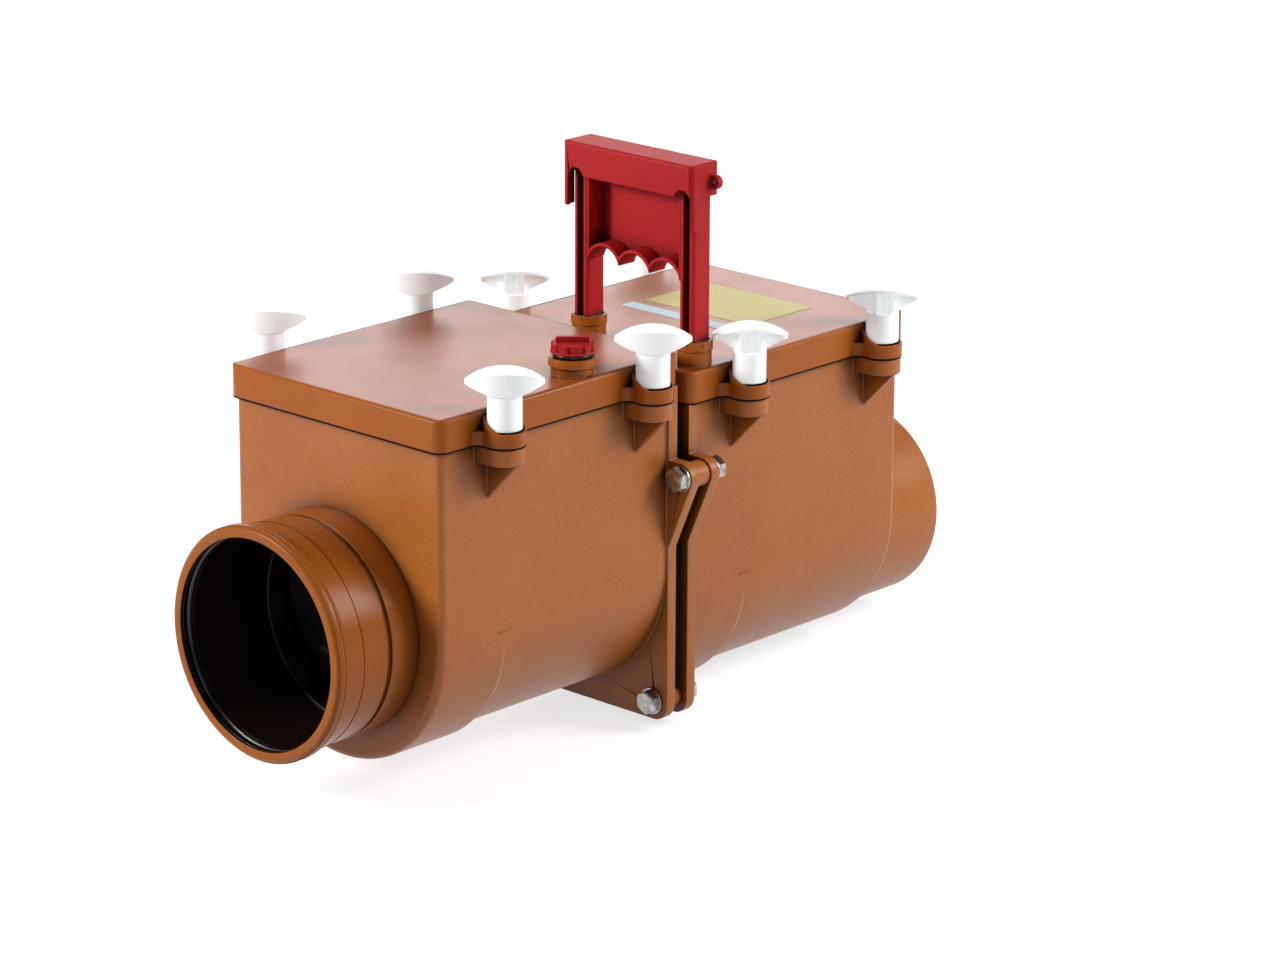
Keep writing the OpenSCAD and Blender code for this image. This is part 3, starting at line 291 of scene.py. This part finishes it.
# Sticker paper: fibres along Y and faint stains
FIBRES = {"scale": 420.0, "detail": 4.0, "stretch": (1.0, 0.25, 1.0)}
FIBRE_SHARE = 0.5
FIBRE_DEPTH = 0.02 * MM
STAINS = {"scale": 40.0, "detail": 3.0}
STAIN_ROUGH = 0.15
PAPER_STOPS = ((0.35, 0.0), (0.65, 1.0))
PAPER_ROUGH = 0.42
PAPER_GLOSS = 0.2


def moulded(
    name, deep, pale, rough, grain, depth, speck, gloss=0.4, reach=0.0, glow=0.0, painted_bore_shade=False, painted_top_shade=None
):
    """Moulded plastic: soft clouding, fine speckle and a sand-blasted mould's grain.

    Faces nearer to each other than reach get painted shade, glow is painted light, a faint light of the
    piece's own though it is no lamp, bore paints shade on the inlet's interior, and top is a darker,
    greyer colour painted on faces that point up, as painted shade.
    """
    f = Finish(name)
    cloud = f.noise(**CLOUD)
    fine = f.noise(grain, GRAIN_DETAIL)
    flow = f.noise(**FLOW)
    base = f.mix(f.ramp(cloud, *BLEND_STOPS), deep, pale)
    speckle = f.ramp(fine, (SPECKLE_LOW, 1.0 - speck), (SPECKLE_HIGH, 1.0))
    colour = f.mix(1.0, base, speckle, "MULTIPLY")
    if painted_bore_shade:
        # Painted shade: the inlet's interior takes a near-black brown
        x, y, z = f.axes()
        bore_shade_mask = (y * y + z * z < BORE_R * BORE_R) * (x < BORE_END) * (x > BORE_START)
        colour = f.mix(bore_shade_mask, colour, BORE_PAINTED_SHADE)
    if painted_top_shade:
        # Painted shade: faces that point up take a darker, greyer colour, so that the sheen on them reads
        # stronger
        facing = f.node("ShaderNodeTexCoord", out="Normal")
        upward = f.node("ShaderNodeSeparateXYZ", None, {0: facing}, "Z")
        upward_painted_shade = f.mix(1.0, painted_top_shade, speckle, "MULTIPLY")
        colour = f.mix(f.ramp(upward, *UPWARD_STOPS), colour, upward_painted_shade)
    # Painted shade: the colour darkens where other faces stand within reach
    if reach:
        colour = f.mix(1.0, colour, f.painted_crevice_shade(reach), "MULTIPLY")
    # Painted light: a piece with glow shines faintly by itself, though it is no lamp
    painted_glow = {"Emission_Color": colour, "Emission_Strength": glow} if glow else {}
    return f.surface(
        Base_Color=colour,
        Roughness=rough + (flow - MEAN) * FLOW_ROUGH + (fine - MEAN) * GRAIN_ROUGH,
        Specular_IOR_Level=gloss,
        Normal=f.bump(fine + flow * FLOW_BUMP, depth),
        **painted_glow,
    )


def body_plastic():
    # Painted shade on the inlet's interior and in corners, through the bore and reach settings
    return moulded(
        "orange_brown_grained", shade(166, 92, 29), shade(178, 103, 38),
        rough=0.42, grain=900.0, depth=0.1 * MM, speck=0.2, reach=22 * MM, painted_bore_shade=True,
    )


def socket_plastic():
    # Painted shade: the socket's colour is darker than the body's, for the shade it stands in, and its
    # interior and corners are darkened too; its smoother finish is its own
    return moulded(
        "orange_brown_glossy", shade(150, 80, 22), shade(160, 88, 28),
        rough=0.3, grain=1100.0, depth=0.04 * MM, speck=0.1, gloss=0.15, reach=15 * MM, painted_bore_shade=True,
    )


def cover_plastic():
    # Painted shade: the covers' upward faces take a darker, greyer colour than their sides
    return moulded(
        "orange_brown_smooth", shade(158, 83, 22), shade(168, 91, 29),
        rough=0.3, grain=1100.0, depth=0.04 * MM, speck=0.1, gloss=0.17, reach=14 * MM,
        painted_top_shade=shade(147, 75, 32),
    )


def red_plastic():
    return moulded(
        "red_moulded", shade(166, 20, 22), shade(180, 27, 29),
        rough=0.55, grain=800.0, depth=0.04 * MM, speck=0.1, gloss=0.2, reach=14 * MM,
    )


def white_plastic():
    # Painted light: the white knobs glow faintly, which makes them look brighter than the lamps alone
    # would
    return moulded(
        "white_moulded", shade(247, 251, 251), shade(252, 254, 254),
        rough=0.36, grain=700.0, depth=0.03 * MM, speck=0.02, glow=0.15,
    )


def dark_plastic():
    return moulded(
        "black_moulded", shade(30, 30, 33), shade(42, 42, 45),
        rough=0.32, grain=800.0, depth=0.05 * MM, speck=0.12,
    )


def rubber():
    return moulded(
        "black_rubber", shade(9, 9, 10), shade(17, 17, 18),
        rough=0.3, grain=600.0, depth=0.03 * MM, speck=0.16, gloss=0.5,
    )


def gap_shade_rubber():
    # Matt and nearly black, for the lips and foot rings: rubber, and painted shade in the gaps they sit in
    return moulded(
        "matt_black_rubber", shade(6, 6, 7), shade(11, 11, 12),
        rough=0.7, grain=600.0, depth=0.03 * MM, speck=0.16, gloss=0.08,
    )


def plated(name, deep, pale, rough):
    """Plated or turned metal with blotches and fine lines."""
    f = Finish(name)
    blotch = f.noise(**BLOTCH)
    lines = f.noise(**TOOL_LINES)
    return f.surface(
        Base_Color=f.mix(f.ramp(blotch, *BLEND_STOPS), deep, pale),
        Metallic=1.0,
        Roughness=rough + (blotch - MEAN) * BLOTCH_ROUGH + (lines - MEAN) * LINE_ROUGH,
        Normal=f.bump(lines, LINE_DEPTH),
    )


def zinc():
    return plated("zinc_plated_steel", shade(120, 118, 114), shade(188, 188, 184), rough=0.3)


def brass():
    return plated("turned_brass", shade(178, 138, 66), shade(212, 176, 96), rough=0.3)


def sticker_paper(name, deep, pale):
    """A laminated paper sticker: fibres, faint stains and a slight gloss."""
    f = Finish(name)
    fibres = f.noise(**FIBRES)
    stains = f.noise(**STAINS)
    share = f.ramp(fibres * FIBRE_SHARE + stains * (1.0 - FIBRE_SHARE), *PAPER_STOPS)
    return f.surface(
        Base_Color=f.mix(share, deep, pale),
        Roughness=PAPER_ROUGH + (stains - MEAN) * STAIN_ROUGH,
        Specular_IOR_Level=PAPER_GLOSS,
        Normal=f.bump(fibres, FIBRE_DEPTH),
    )


FINISH = {
    "pvc": body_plastic(),
    "cover": cover_plastic(),
    "socket": socket_plastic(),
    "red_plastic": red_plastic(),
    "white_plastic": white_plastic(),
    "black_plastic": dark_plastic(),
    "rubber": rubber(),
    "gap_shade_rubber": gap_shade_rubber(),
    "zinc_steel": zinc(),
    "brass": brass(),
}


# Pieces

WELD = 2e-6
CRISP = math.radians(35)


def put(mesh, name, body, material):
    """Makes a finished mesh a piece that rides on a body."""
    piece = bpy.data.objects.new(name, mesh)
    bpy.context.scene.collection.objects.link(piece)
    mesh.materials.clear()
    mesh.materials.append(material)
    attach(piece, body)
    return piece


def welded(node):
    """A copy of a node's mesh with its loose triangles joined."""
    bm = bmesh.new()
    bm.from_mesh(frame["nodes"][node].data)
    bmesh.ops.remove_doubles(bm, verts=bm.verts, dist=WELD)
    return bm


def as_mesh(bm, name):
    mesh = bpy.data.meshes.new(name)
    for face in bm.faces:
        face.smooth = True
    bm.to_mesh(mesh)
    bm.free()
    return mesh


SHARP = math.radians(32)
# Where each chamber's deeper floor begins, as X and Z, and the reach of its ends from there
BAND_ENDS = {"inlet_body": (148.0 * MM, 0.0), "outlet_body": (414.0 * MM, -19.0 * MM)}
BAND_BOX = Vector((18.0, 107.0, 7.0)) * MM
# Edges of a wing knob farther than this from its axis belong to its tips
TIP_R = 25.0 * MM
# Pieces that run through a close fit, so that their inner corners stay sharp
SLIDING = {"emergency_handle"}


def in_band_end(point, x, z):
    """True where a chamber's deeper floor runs out into its main floor."""
    return -MM < point.x - x < BAND_BOX.x and abs(point.y) > BAND_BOX.y and -MM < point.z - z < BAND_BOX.z


def skin(node, edge, material, tip=None, segments=2):
    """A node's own shape with softened edges, as moulded, turned or pressed."""
    bm = welded(node)
    low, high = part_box(node)
    axis = ((low + high) / 2).to_2d()
    share = bm.edges.layers.float.new("bevel_weight_edge")
    for line in bm.edges:
        place = (line.verts[0].co + line.verts[1].co) / 2
        if line.calc_face_angle(0.0) < SHARP or node in BAND_ENDS and in_band_end(place, *BAND_ENDS[node]):
            continue
        if node in SLIDING and not line.is_convex:
            line.smooth = False
            continue
        line[share] = 1.0 if not tip or (place.to_2d() - axis).length > TIP_R else edge / tip
    piece = put(as_mesh(bm, node + "_skin"), node + "_skin", BODY_OF[node], material)
    soft = piece.modifiers.new("soft_edges", "BEVEL")
    soft.width = tip or edge
    soft.segments = segments
    soft.limit_method = "WEIGHT"
    soft.use_clamp_overlap = bool(tip)
    soft.miter_outer = "MITER_ARC"
    even = piece.modifiers.new("even_flats", "WEIGHTED_NORMAL")
    even.mode = "FACE_AREA_WITH_ANGLE"
    even.keep_sharp = node in SLIDING
    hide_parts(node)
    return piece


def islands(node):
    """The lowest and highest corners of each separate solid of a node."""
    bm = welded(node)
    left = set(bm.verts)
    boxes = []
    while left:
        reach = [left.pop()]
        found = []
        while reach:
            vert = reach.pop()
            found.append(vert.co.copy())
            near = {edge.other_vert(vert) for edge in vert.link_edges} & left
            left -= near
            reach += near
        boxes.append(tuple(Vector([pick(p[i] for p in found) for i in range(3)]) for pick in (min, max)))
    bm.free()
    return boxes


# Bolts, nuts and studs with cut threads

BOLT_HEAD = 6.4 * MM
BOLT_FLATS = 17.0 * MM
BOLT_R = 5.0 * MM
PLAIN_SHARE = 0.55
SHANK_SIDES = 32
TURNED_SIDES = 48
THREAD = {"Pitch": 1.5 * MM, "Ridge": 0.55 * MM, "Turn Steps": 24}
HEX_SIZES = {"Flats": BOLT_FLATS, "Face": 0.94, "Chamfer": math.tan(math.radians(60))}


def hexagon(b, height):
    """A hexagon standing on its place, with the corners of its upper face turned off."""
    across = b.size("Flats")
    low = across * 0.5 * b.size("Face") + b.size("Chamfer") * height
    block = b.node(
        "GeometryNodeMeshCylinder",
        {"fill_type": "NGON"},
        {"Vertices": 6, "Radius": across * (0.5 / math.cos(math.radians(30))), "Depth": height},
    )
    turned = b.node(
        "GeometryNodeMeshCone",
        {"fill_type": "NGON"},
        {
            "Vertices": TURNED_SIDES,
            "Radius Top": across * 0.5 * b.size("Face"),
            "Radius Bottom": low,
            "Depth": height,
        },
    )
    both = [b.shift(block, height * 0.5), turned]
    settings = {"operation": "INTERSECT", "solver": "EXACT"}
    return b.node("GeometryNodeMeshBoolean", settings, {"Mesh 2": both})


def threaded(b, radius, length):
    """A round core with a helical ridge, from its place upwards."""
    core = b.node(
        "GeometryNodeMeshCylinder",
        {"fill_type": "NGON"},
        {"Vertices": SHANK_SIDES, "Radius": radius - b.size("Ridge"), "Depth": length},
    )
    helix = b.node(
        "GeometryNodeCurveSpiral",
        None,
        {
            "Resolution": b.size("Turn Steps"),
            "Rotations": (length - b.size("Pitch")) / b.size("Pitch"),
            "Start Radius": radius - b.size("Ridge"),
            "End Radius": radius - b.size("Ridge"),
            "Height": length - b.size("Pitch"),
        },
    )
    tooth = b.node("GeometryNodeCurvePrimitiveCircle", None, {"Resolution": 4, "Radius": b.size("Ridge")})
    swept = {"Curve": helix, "Profile Curve": tooth, "Fill Caps": True}
    ridge = b.node("GeometryNodeCurveToMesh", None, swept)
    return b.joined(b.shift(core, length * 0.5), b.shift(ridge, b.size("Pitch") * 0.5))


def flange_bolt_set():
    boxes = islands("flange_bolts")
    length = boxes[0][1].x - boxes[0][0].x - BOLT_HEAD
    b = Builder(
        "flange_bolt_set",
        {
            "Head": BOLT_HEAD,
            "Shank": BOLT_R,
            "Plain": PLAIN_SHARE * length,
            "Cut": (1 - PLAIN_SHARE) * length,
            **HEX_SIZES,
            **THREAD,
        },
    )
    plain = b.node(
        "GeometryNodeMeshCylinder",
        {"fill_type": "NGON"},
        {"Vertices": SHANK_SIDES, "Radius": b.size("Shank"), "Depth": b.size("Plain")},
    )
    cut = threaded(b, b.size("Shank"), b.size("Cut"))
    bolt = b.joined(
        hexagon(b, b.size("Head")),
        b.shift(plain, b.size("Plain") * -0.5),
        b.shift(cut, -1.0 * (b.size("Plain") + b.size("Cut"))),
    )
    places = [(low.x + BOLT_HEAD, (low.y + high.y) / 2, (low.z + high.z) / 2) for low, high in boxes]
    mesh = b.mesh(b.at_places(bolt, (0.0, -math.pi / 2, 0.0)), places, FINISH["zinc_steel"])
    return finish_metal(mesh, "flange_bolts")


def flange_nut_set():
    boxes = islands("flange_nuts")
    height = boxes[0][1].x - boxes[0][0].x
    b = Builder("flange_nut_set", {"Height": height, **HEX_SIZES})
    places = [(low.x, (low.y + high.y) / 2, (low.z + high.z) / 2) for low, high in boxes]
    nut = b.at_places(hexagon(b, b.size("Height")), (0.0, math.pi / 2, 0.0))
    return finish_metal(b.mesh(nut, places, FINISH["zinc_steel"]), "flange_nuts")


def stud_thread(node):
    low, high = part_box(node)
    b = Builder(node + "_thread", {"Radius": (high.x - low.x) / 2, "Length": high.z - low.z, **THREAD})
    stud = b.at_places(threaded(b, b.size("Radius"), b.size("Length")), (0.0, 0.0, 0.0))
    place = ((low.x + high.x) / 2, (low.y + high.y) / 2, low.z)
    return finish_metal(b.mesh(stud, [place], FINISH["zinc_steel"]), node)


def finish_metal(mesh, node):
    """Joins a built mesh, keeps its edges crisp and lets it stand for its node."""
    bm = bmesh.new()
    bm.from_mesh(mesh)
    bmesh.ops.remove_doubles(bm, verts=bm.verts, dist=WELD)
    bm.to_mesh(mesh)
    bm.free()
    mesh.shade_smooth()
    mesh.set_sharp_from_angle(angle=CRISP)
    piece = put(mesh, node + "_cut", BODY_OF[node], FINISH["zinc_steel"])
    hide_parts(node)
    return piece


# Sealing lip under a cover's skirt, also painted shadow: a dark strip where the gap under the skirt lies
# in shade

LIP_DROP = 0.9 * MM
LIP_INSET = 0.15 * MM
DOWNWARD = -0.95
FOOT_BAND = 0.2 * MM
SAME_FLAT = math.radians(1)


def seal_and_shadow_lip(node):
    """A rubber lip that follows the underside of a cover's skirt and ears, and darkens the gap there as
    painted shadow.
    """
    bm = welded(node)
    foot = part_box(node)[0].z + FOOT_BAND
    kept = {f for f in bm.faces if f.normal.z < DOWNWARD and all(v.co.z < foot for v in f.verts)}
    bmesh.ops.delete(bm, geom=[f for f in bm.faces if f not in kept], context="FACES")
    bmesh.ops.dissolve_limit(bm, angle_limit=SAME_FLAT, verts=bm.verts, edges=bm.edges)
    bmesh.ops.inset_region(
        bm, faces=bm.faces, thickness=LIP_INSET, use_boundary=True, use_even_offset=True
    )
    rim = [f for f in bm.faces if any(e.is_boundary for e in f.edges)]
    bmesh.ops.delete(bm, geom=rim, context="FACES")
    grown = bmesh.ops.extrude_face_region(bm, geom=bm.faces[:], use_keep_orig=True)
    for vert in grown["geom"]:
        if isinstance(vert, bmesh.types.BMVert):
            vert.co.z -= LIP_DROP
    bmesh.ops.recalc_face_normals(bm, faces=bm.faces)
    mesh = as_mesh(bm, node + "_lip")
    mesh.set_sharp_from_angle(angle=CRISP)
    return put(mesh, node + "_lip", BODY_OF[node], FINISH["gap_shade_rubber"])


# Rings of round section: rubber ones at the feet of the wing screws, which also stand for the shade in the
# gap round each sleeve, and ridges on the socket's bead

SECTION_SIDES = 12
SLEEVE_R = 12.85 * MM
RING_GAP = 0.1 * MM
RING_W = 1.5 * MM
RING_H = 1.1 * MM
BEAD_R = 88.85 * MM
RIDGE_R = 0.7 * MM
RIDGE_X = (3.0 * MM, 8.0 * MM)


def round_ring(b):
    circle = "GeometryNodeCurvePrimitiveCircle"
    path = b.node(circle, None, {"Resolution": b.size("Sides"), "Radius": b.size("Radius")})
    form = b.node(circle, None, {"Resolution": SECTION_SIDES, "Radius": b.size("Section")})
    return b.node("GeometryNodeCurveToMesh", None, {"Curve": path, "Profile Curve": form})


def foot_rings_and_shade(cover, screws):
    """Rings that lie on a cover's ears, one round the sleeve of each wing screw: rubber washers, and
    painted shade in the gap round each sleeve.
    """
    radius = SLEEVE_R + RING_GAP + RING_W / 2
    sizes = {"Radius": radius, "Section": RING_W / 2, "Rise": RING_H, "Sides": 64}
    b = Builder(cover + "_foot_rings", sizes)
    rings = b.at_places(b.shift(round_ring(b), b.size("Rise") - b.size("Section")), (0.0, 0.0, 0.0))
    boxes = [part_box("wing_knob_%d" % k) for k in screws]
    places = [((low.x + high.x) / 2, (low.y + high.y) / 2, low.z) for low, high in boxes]
    mesh = b.mesh(rings, places, FINISH["gap_shade_rubber"])
    mesh.shade_smooth()
    return put(mesh, cover + "_foot_rings", cover, FINISH["gap_shade_rubber"])


def bead_ridges():
    """Two ridges round the bead of the socket's mouth."""
    b = Builder("bead_ridges", {"Radius": BEAD_R, "Section": RIDGE_R, "Sides": 160})
    both = b.at_places(round_ring(b), (0.0, math.pi / 2, 0.0))
    mesh = b.mesh(both, [(x, 0.0, 0.0) for x in RIDGE_X], FINISH["socket"])
    mesh.shade_smooth()
    return put(mesh, "bead_ridges", BODY_OF["inlet_socket"], FINISH["socket"])


# Stickers on the second cover

STICKER_T = 0.25 * MM
STICKER_R = 2.0 * MM
COVER_TOP = 156.5 * MM
CORNER_STEPS = 6
# Each sticker's ends in X, then in Y, in millimetres
YELLOW_AREA = (481, 556, -53, 58)
GREY_AREA = (456, 470, -46, 61)


def sticker(name, area, material):
    """A thin rectangle with round corners, lying on the second cover."""
    x0, x1, y0, y1 = (end * MM for end in area)
    r = STICKER_R
    corners = ((x1 - r, y1 - r, 0), (x0 + r, y1 - r, 90), (x0 + r, y0 + r, 180), (x1 - r, y0 + r, 270))
    bm = bmesh.new()
    ring = []
    for x, y, start in corners:
        for step in range(CORNER_STEPS + 1):
            angle = math.radians(start + 90 * step / CORNER_STEPS)
            ring.append(bm.verts.new((x + r * math.cos(angle), y + r * math.sin(angle), COVER_TOP)))
    grown = bmesh.ops.extrude_face_region(bm, geom=[bm.faces.new(ring)], use_keep_orig=True)
    for part in grown["geom"]:
        if isinstance(part, bmesh.types.BMVert):
            part.co.z += STICKER_T
    bmesh.ops.recalc_face_normals(bm, faces=bm.faces)
    mesh = bpy.data.meshes.new(name)
    bm.to_mesh(mesh)
    bm.free()
    return put(mesh, name, "outlet_cover", material)


# Every node's piece, with its edges' rounding in millimetres and a finish other than its slot's

EDGE = {
    "inlet_body": 0.8, "outlet_body": 0.8, "inlet_socket": 0.7, "outlet_spigot": 0.7,
    "inlet_cover": 0.8, "outlet_cover": 0.8, "emergency_handle": 0.7, "test_plug": 0.5,
    "gland_nuts": 0.4, "lock_foot": 0.6, "flange_washers": 0.3,
}
PLAIN_EDGE = 0.25
KNOB_EDGE = 0.7
KNOB_TIP = 2.0
KNOB_SEGMENTS = 4
SMOOTH = {"inlet_cover": "cover", "outlet_cover": "cover", "gland_nuts": "cover", "inlet_socket": "socket"}
SCREWS = {"inlet_cover": (1, 2, 3, 4), "outlet_cover": (5, 6, 7, 8)}
STUDS = ["wing_stud_%d" % k for screws in SCREWS.values() for k in screws]

for part in frame["record"]["subparts"]:
    name = part["node"]
    finish = FINISH[SMOOTH.get(name, part["material_slot"])]
    if name in ("flange_bolts", "flange_nuts", *STUDS):
        continue
    if name.startswith("wing_knob"):
        skin(name, KNOB_EDGE * MM, finish, KNOB_TIP * MM, KNOB_SEGMENTS)
    else:
        skin(name, EDGE.get(name, PLAIN_EDGE) * MM, finish)

flange_bolt_set()
flange_nut_set()
for stud in STUDS:
    stud_thread(stud)
for cover, screws in SCREWS.items():
    seal_and_shadow_lip(cover)
    foot_rings_and_shade(cover, screws)
bead_ridges()
yellow_paper = sticker_paper("yellow_paper", shade(162, 151, 66), shade(178, 167, 82))
sticker("yellow_sticker", YELLOW_AREA, yellow_paper)
blue_grey_paper = sticker_paper("blue_grey_paper", shade(150, 176, 186), shade(172, 194, 202))
sticker("grey_sticker", GREY_AREA, blue_grey_paper)


# Stage, light and camera

AMBIENT = 0.14
FLOOR_HALF = 30.0
FLOOR_SHADE = (0.45, 0.45, 0.45, 1.0)
FLOOR_LIGHT = 0.72
GLOSS_LIGHT = 1.3
FAR_LIGHT = 0.02
# Each lamp's place and size in metres, and its power in watts
LAMPS = {
    "right_softbox": ((1.5, -1.6, 1.2), (1.0, 1.0), 42.0),
    "left_softbox": ((-2.2, 1.5, 1.5), (0.8, 0.8), 98.0),
    "top_softbox": ((0.3, 0.5, 2.6), (1.6, 1.6), 8.0),
    "front_fill": ((-1.4, -1.9, 1.7), (1.2, 1.2), 11.0),
    "back_card": ((2.1, 1.75, 0.85), (3.2, 1.3), 36.0),
}
CAMERA_PLACE = (-2.1015, -2.3160, 1.0985)
CAMERA_AZIMUTH = -46.098
CAMERA_ELEVATION = 15.446
CAMERA_SHIFT = (0.0743, -0.1137)
LENS = 127.65
SENSOR_W = 36.0
VIEW_DEPTH = 50.0


def screen_ray(tree):
    """Two masks: rays from the camera or through a clear piece, and rays off a gloss."""
    seen = tree.node("ShaderNodeLightPath", None, None, "Is Camera Ray")
    glossy, clear = tree.others(seen, "Is Glossy Ray", "Is Transmission Ray")
    return seen.math("MAXIMUM", seen, clear), glossy


def studio_world():
    """White where the camera looks past the stage, and a low even light on the object."""
    world = bpy.data.worlds.new("studio")
    world.use_nodes = True
    tree = Tree(world.node_tree)
    world.node_tree.nodes.clear()
    strength = AMBIENT + screen_ray(tree)[0] * (1.0 - AMBIENT)
    glow = tree.node("ShaderNodeBackground", None, {"Color": (1, 1, 1, 1), "Strength": strength})
    tree.node("ShaderNodeOutputWorld", None, {"Surface": glow})
    bpy.context.scene.world = world


def pale_floor(level):
    """A floor that the camera sees as white, whiter far off, and that keeps the object's shadow."""
    mesh = bpy.data.meshes.new("floor")
    signs = ((-1, -1), (1, -1), (1, 1), (-1, 1))
    corners = [(x * FLOOR_HALF, y * FLOOR_HALF, level) for x, y in signs]
    mesh.from_pydata(corners, [], [(0, 1, 2, 3)])
    floor = bpy.data.objects.new("floor", mesh)
    bpy.context.scene.collection.objects.link(floor)
    f = Finish("pale_floor")
    matt = f.node("ShaderNodeBsdfDiffuse", None, {"Color": FLOOR_SHADE})
    seen, glossy = screen_ray(f)
    x, y, _ = f.axes()
    far = (x * x + y * y) * FAR_LIGHT * seen
    strength = (seen + glossy * GLOSS_LIGHT) * FLOOR_LIGHT + far
    glow = f.node("ShaderNodeEmission", None, {"Strength": strength})
    both = f.node("ShaderNodeAddShader", None, {0: matt, 1: glow})
    f.node("ShaderNodeOutputMaterial", None, {"Surface": both})
    mesh.materials.append(f.material)


def softbox(name, place, target, size, power):
    lamp = bpy.data.lights.new(name, "AREA")
    lamp.shape = "RECTANGLE"
    lamp.size, lamp.size_y = size
    lamp.energy = power
    holder = bpy.data.objects.new(name, lamp)
    bpy.context.scene.collection.objects.link(holder)
    holder.location = place
    holder.rotation_euler = (Vector(place) - Vector(target)).to_track_quat("Z", "Y").to_euler()


def photo_camera():
    data = bpy.data.cameras.new("photo_camera")
    data.lens = LENS
    data.sensor_width = SENSOR_W
    data.shift_x, data.shift_y = CAMERA_SHIFT
    data.clip_end = VIEW_DEPTH
    camera = bpy.data.objects.new("photo_camera", data)
    bpy.context.scene.collection.objects.link(camera)
    camera.location = CAMERA_PLACE
    camera.rotation_euler = (math.radians(90.0 - CAMERA_ELEVATION), 0.0, math.radians(CAMERA_AZIMUTH))
    bpy.context.scene.camera = camera


middle = (cad_box[0] + cad_box[1]) / 2
studio_world()
pale_floor(cad_box[0].z)
for name, (place, size, power) in LAMPS.items():
    softbox(name, place, middle, size, power)
photo_camera()
bpy.context.scene.view_settings.view_transform = "Standard"
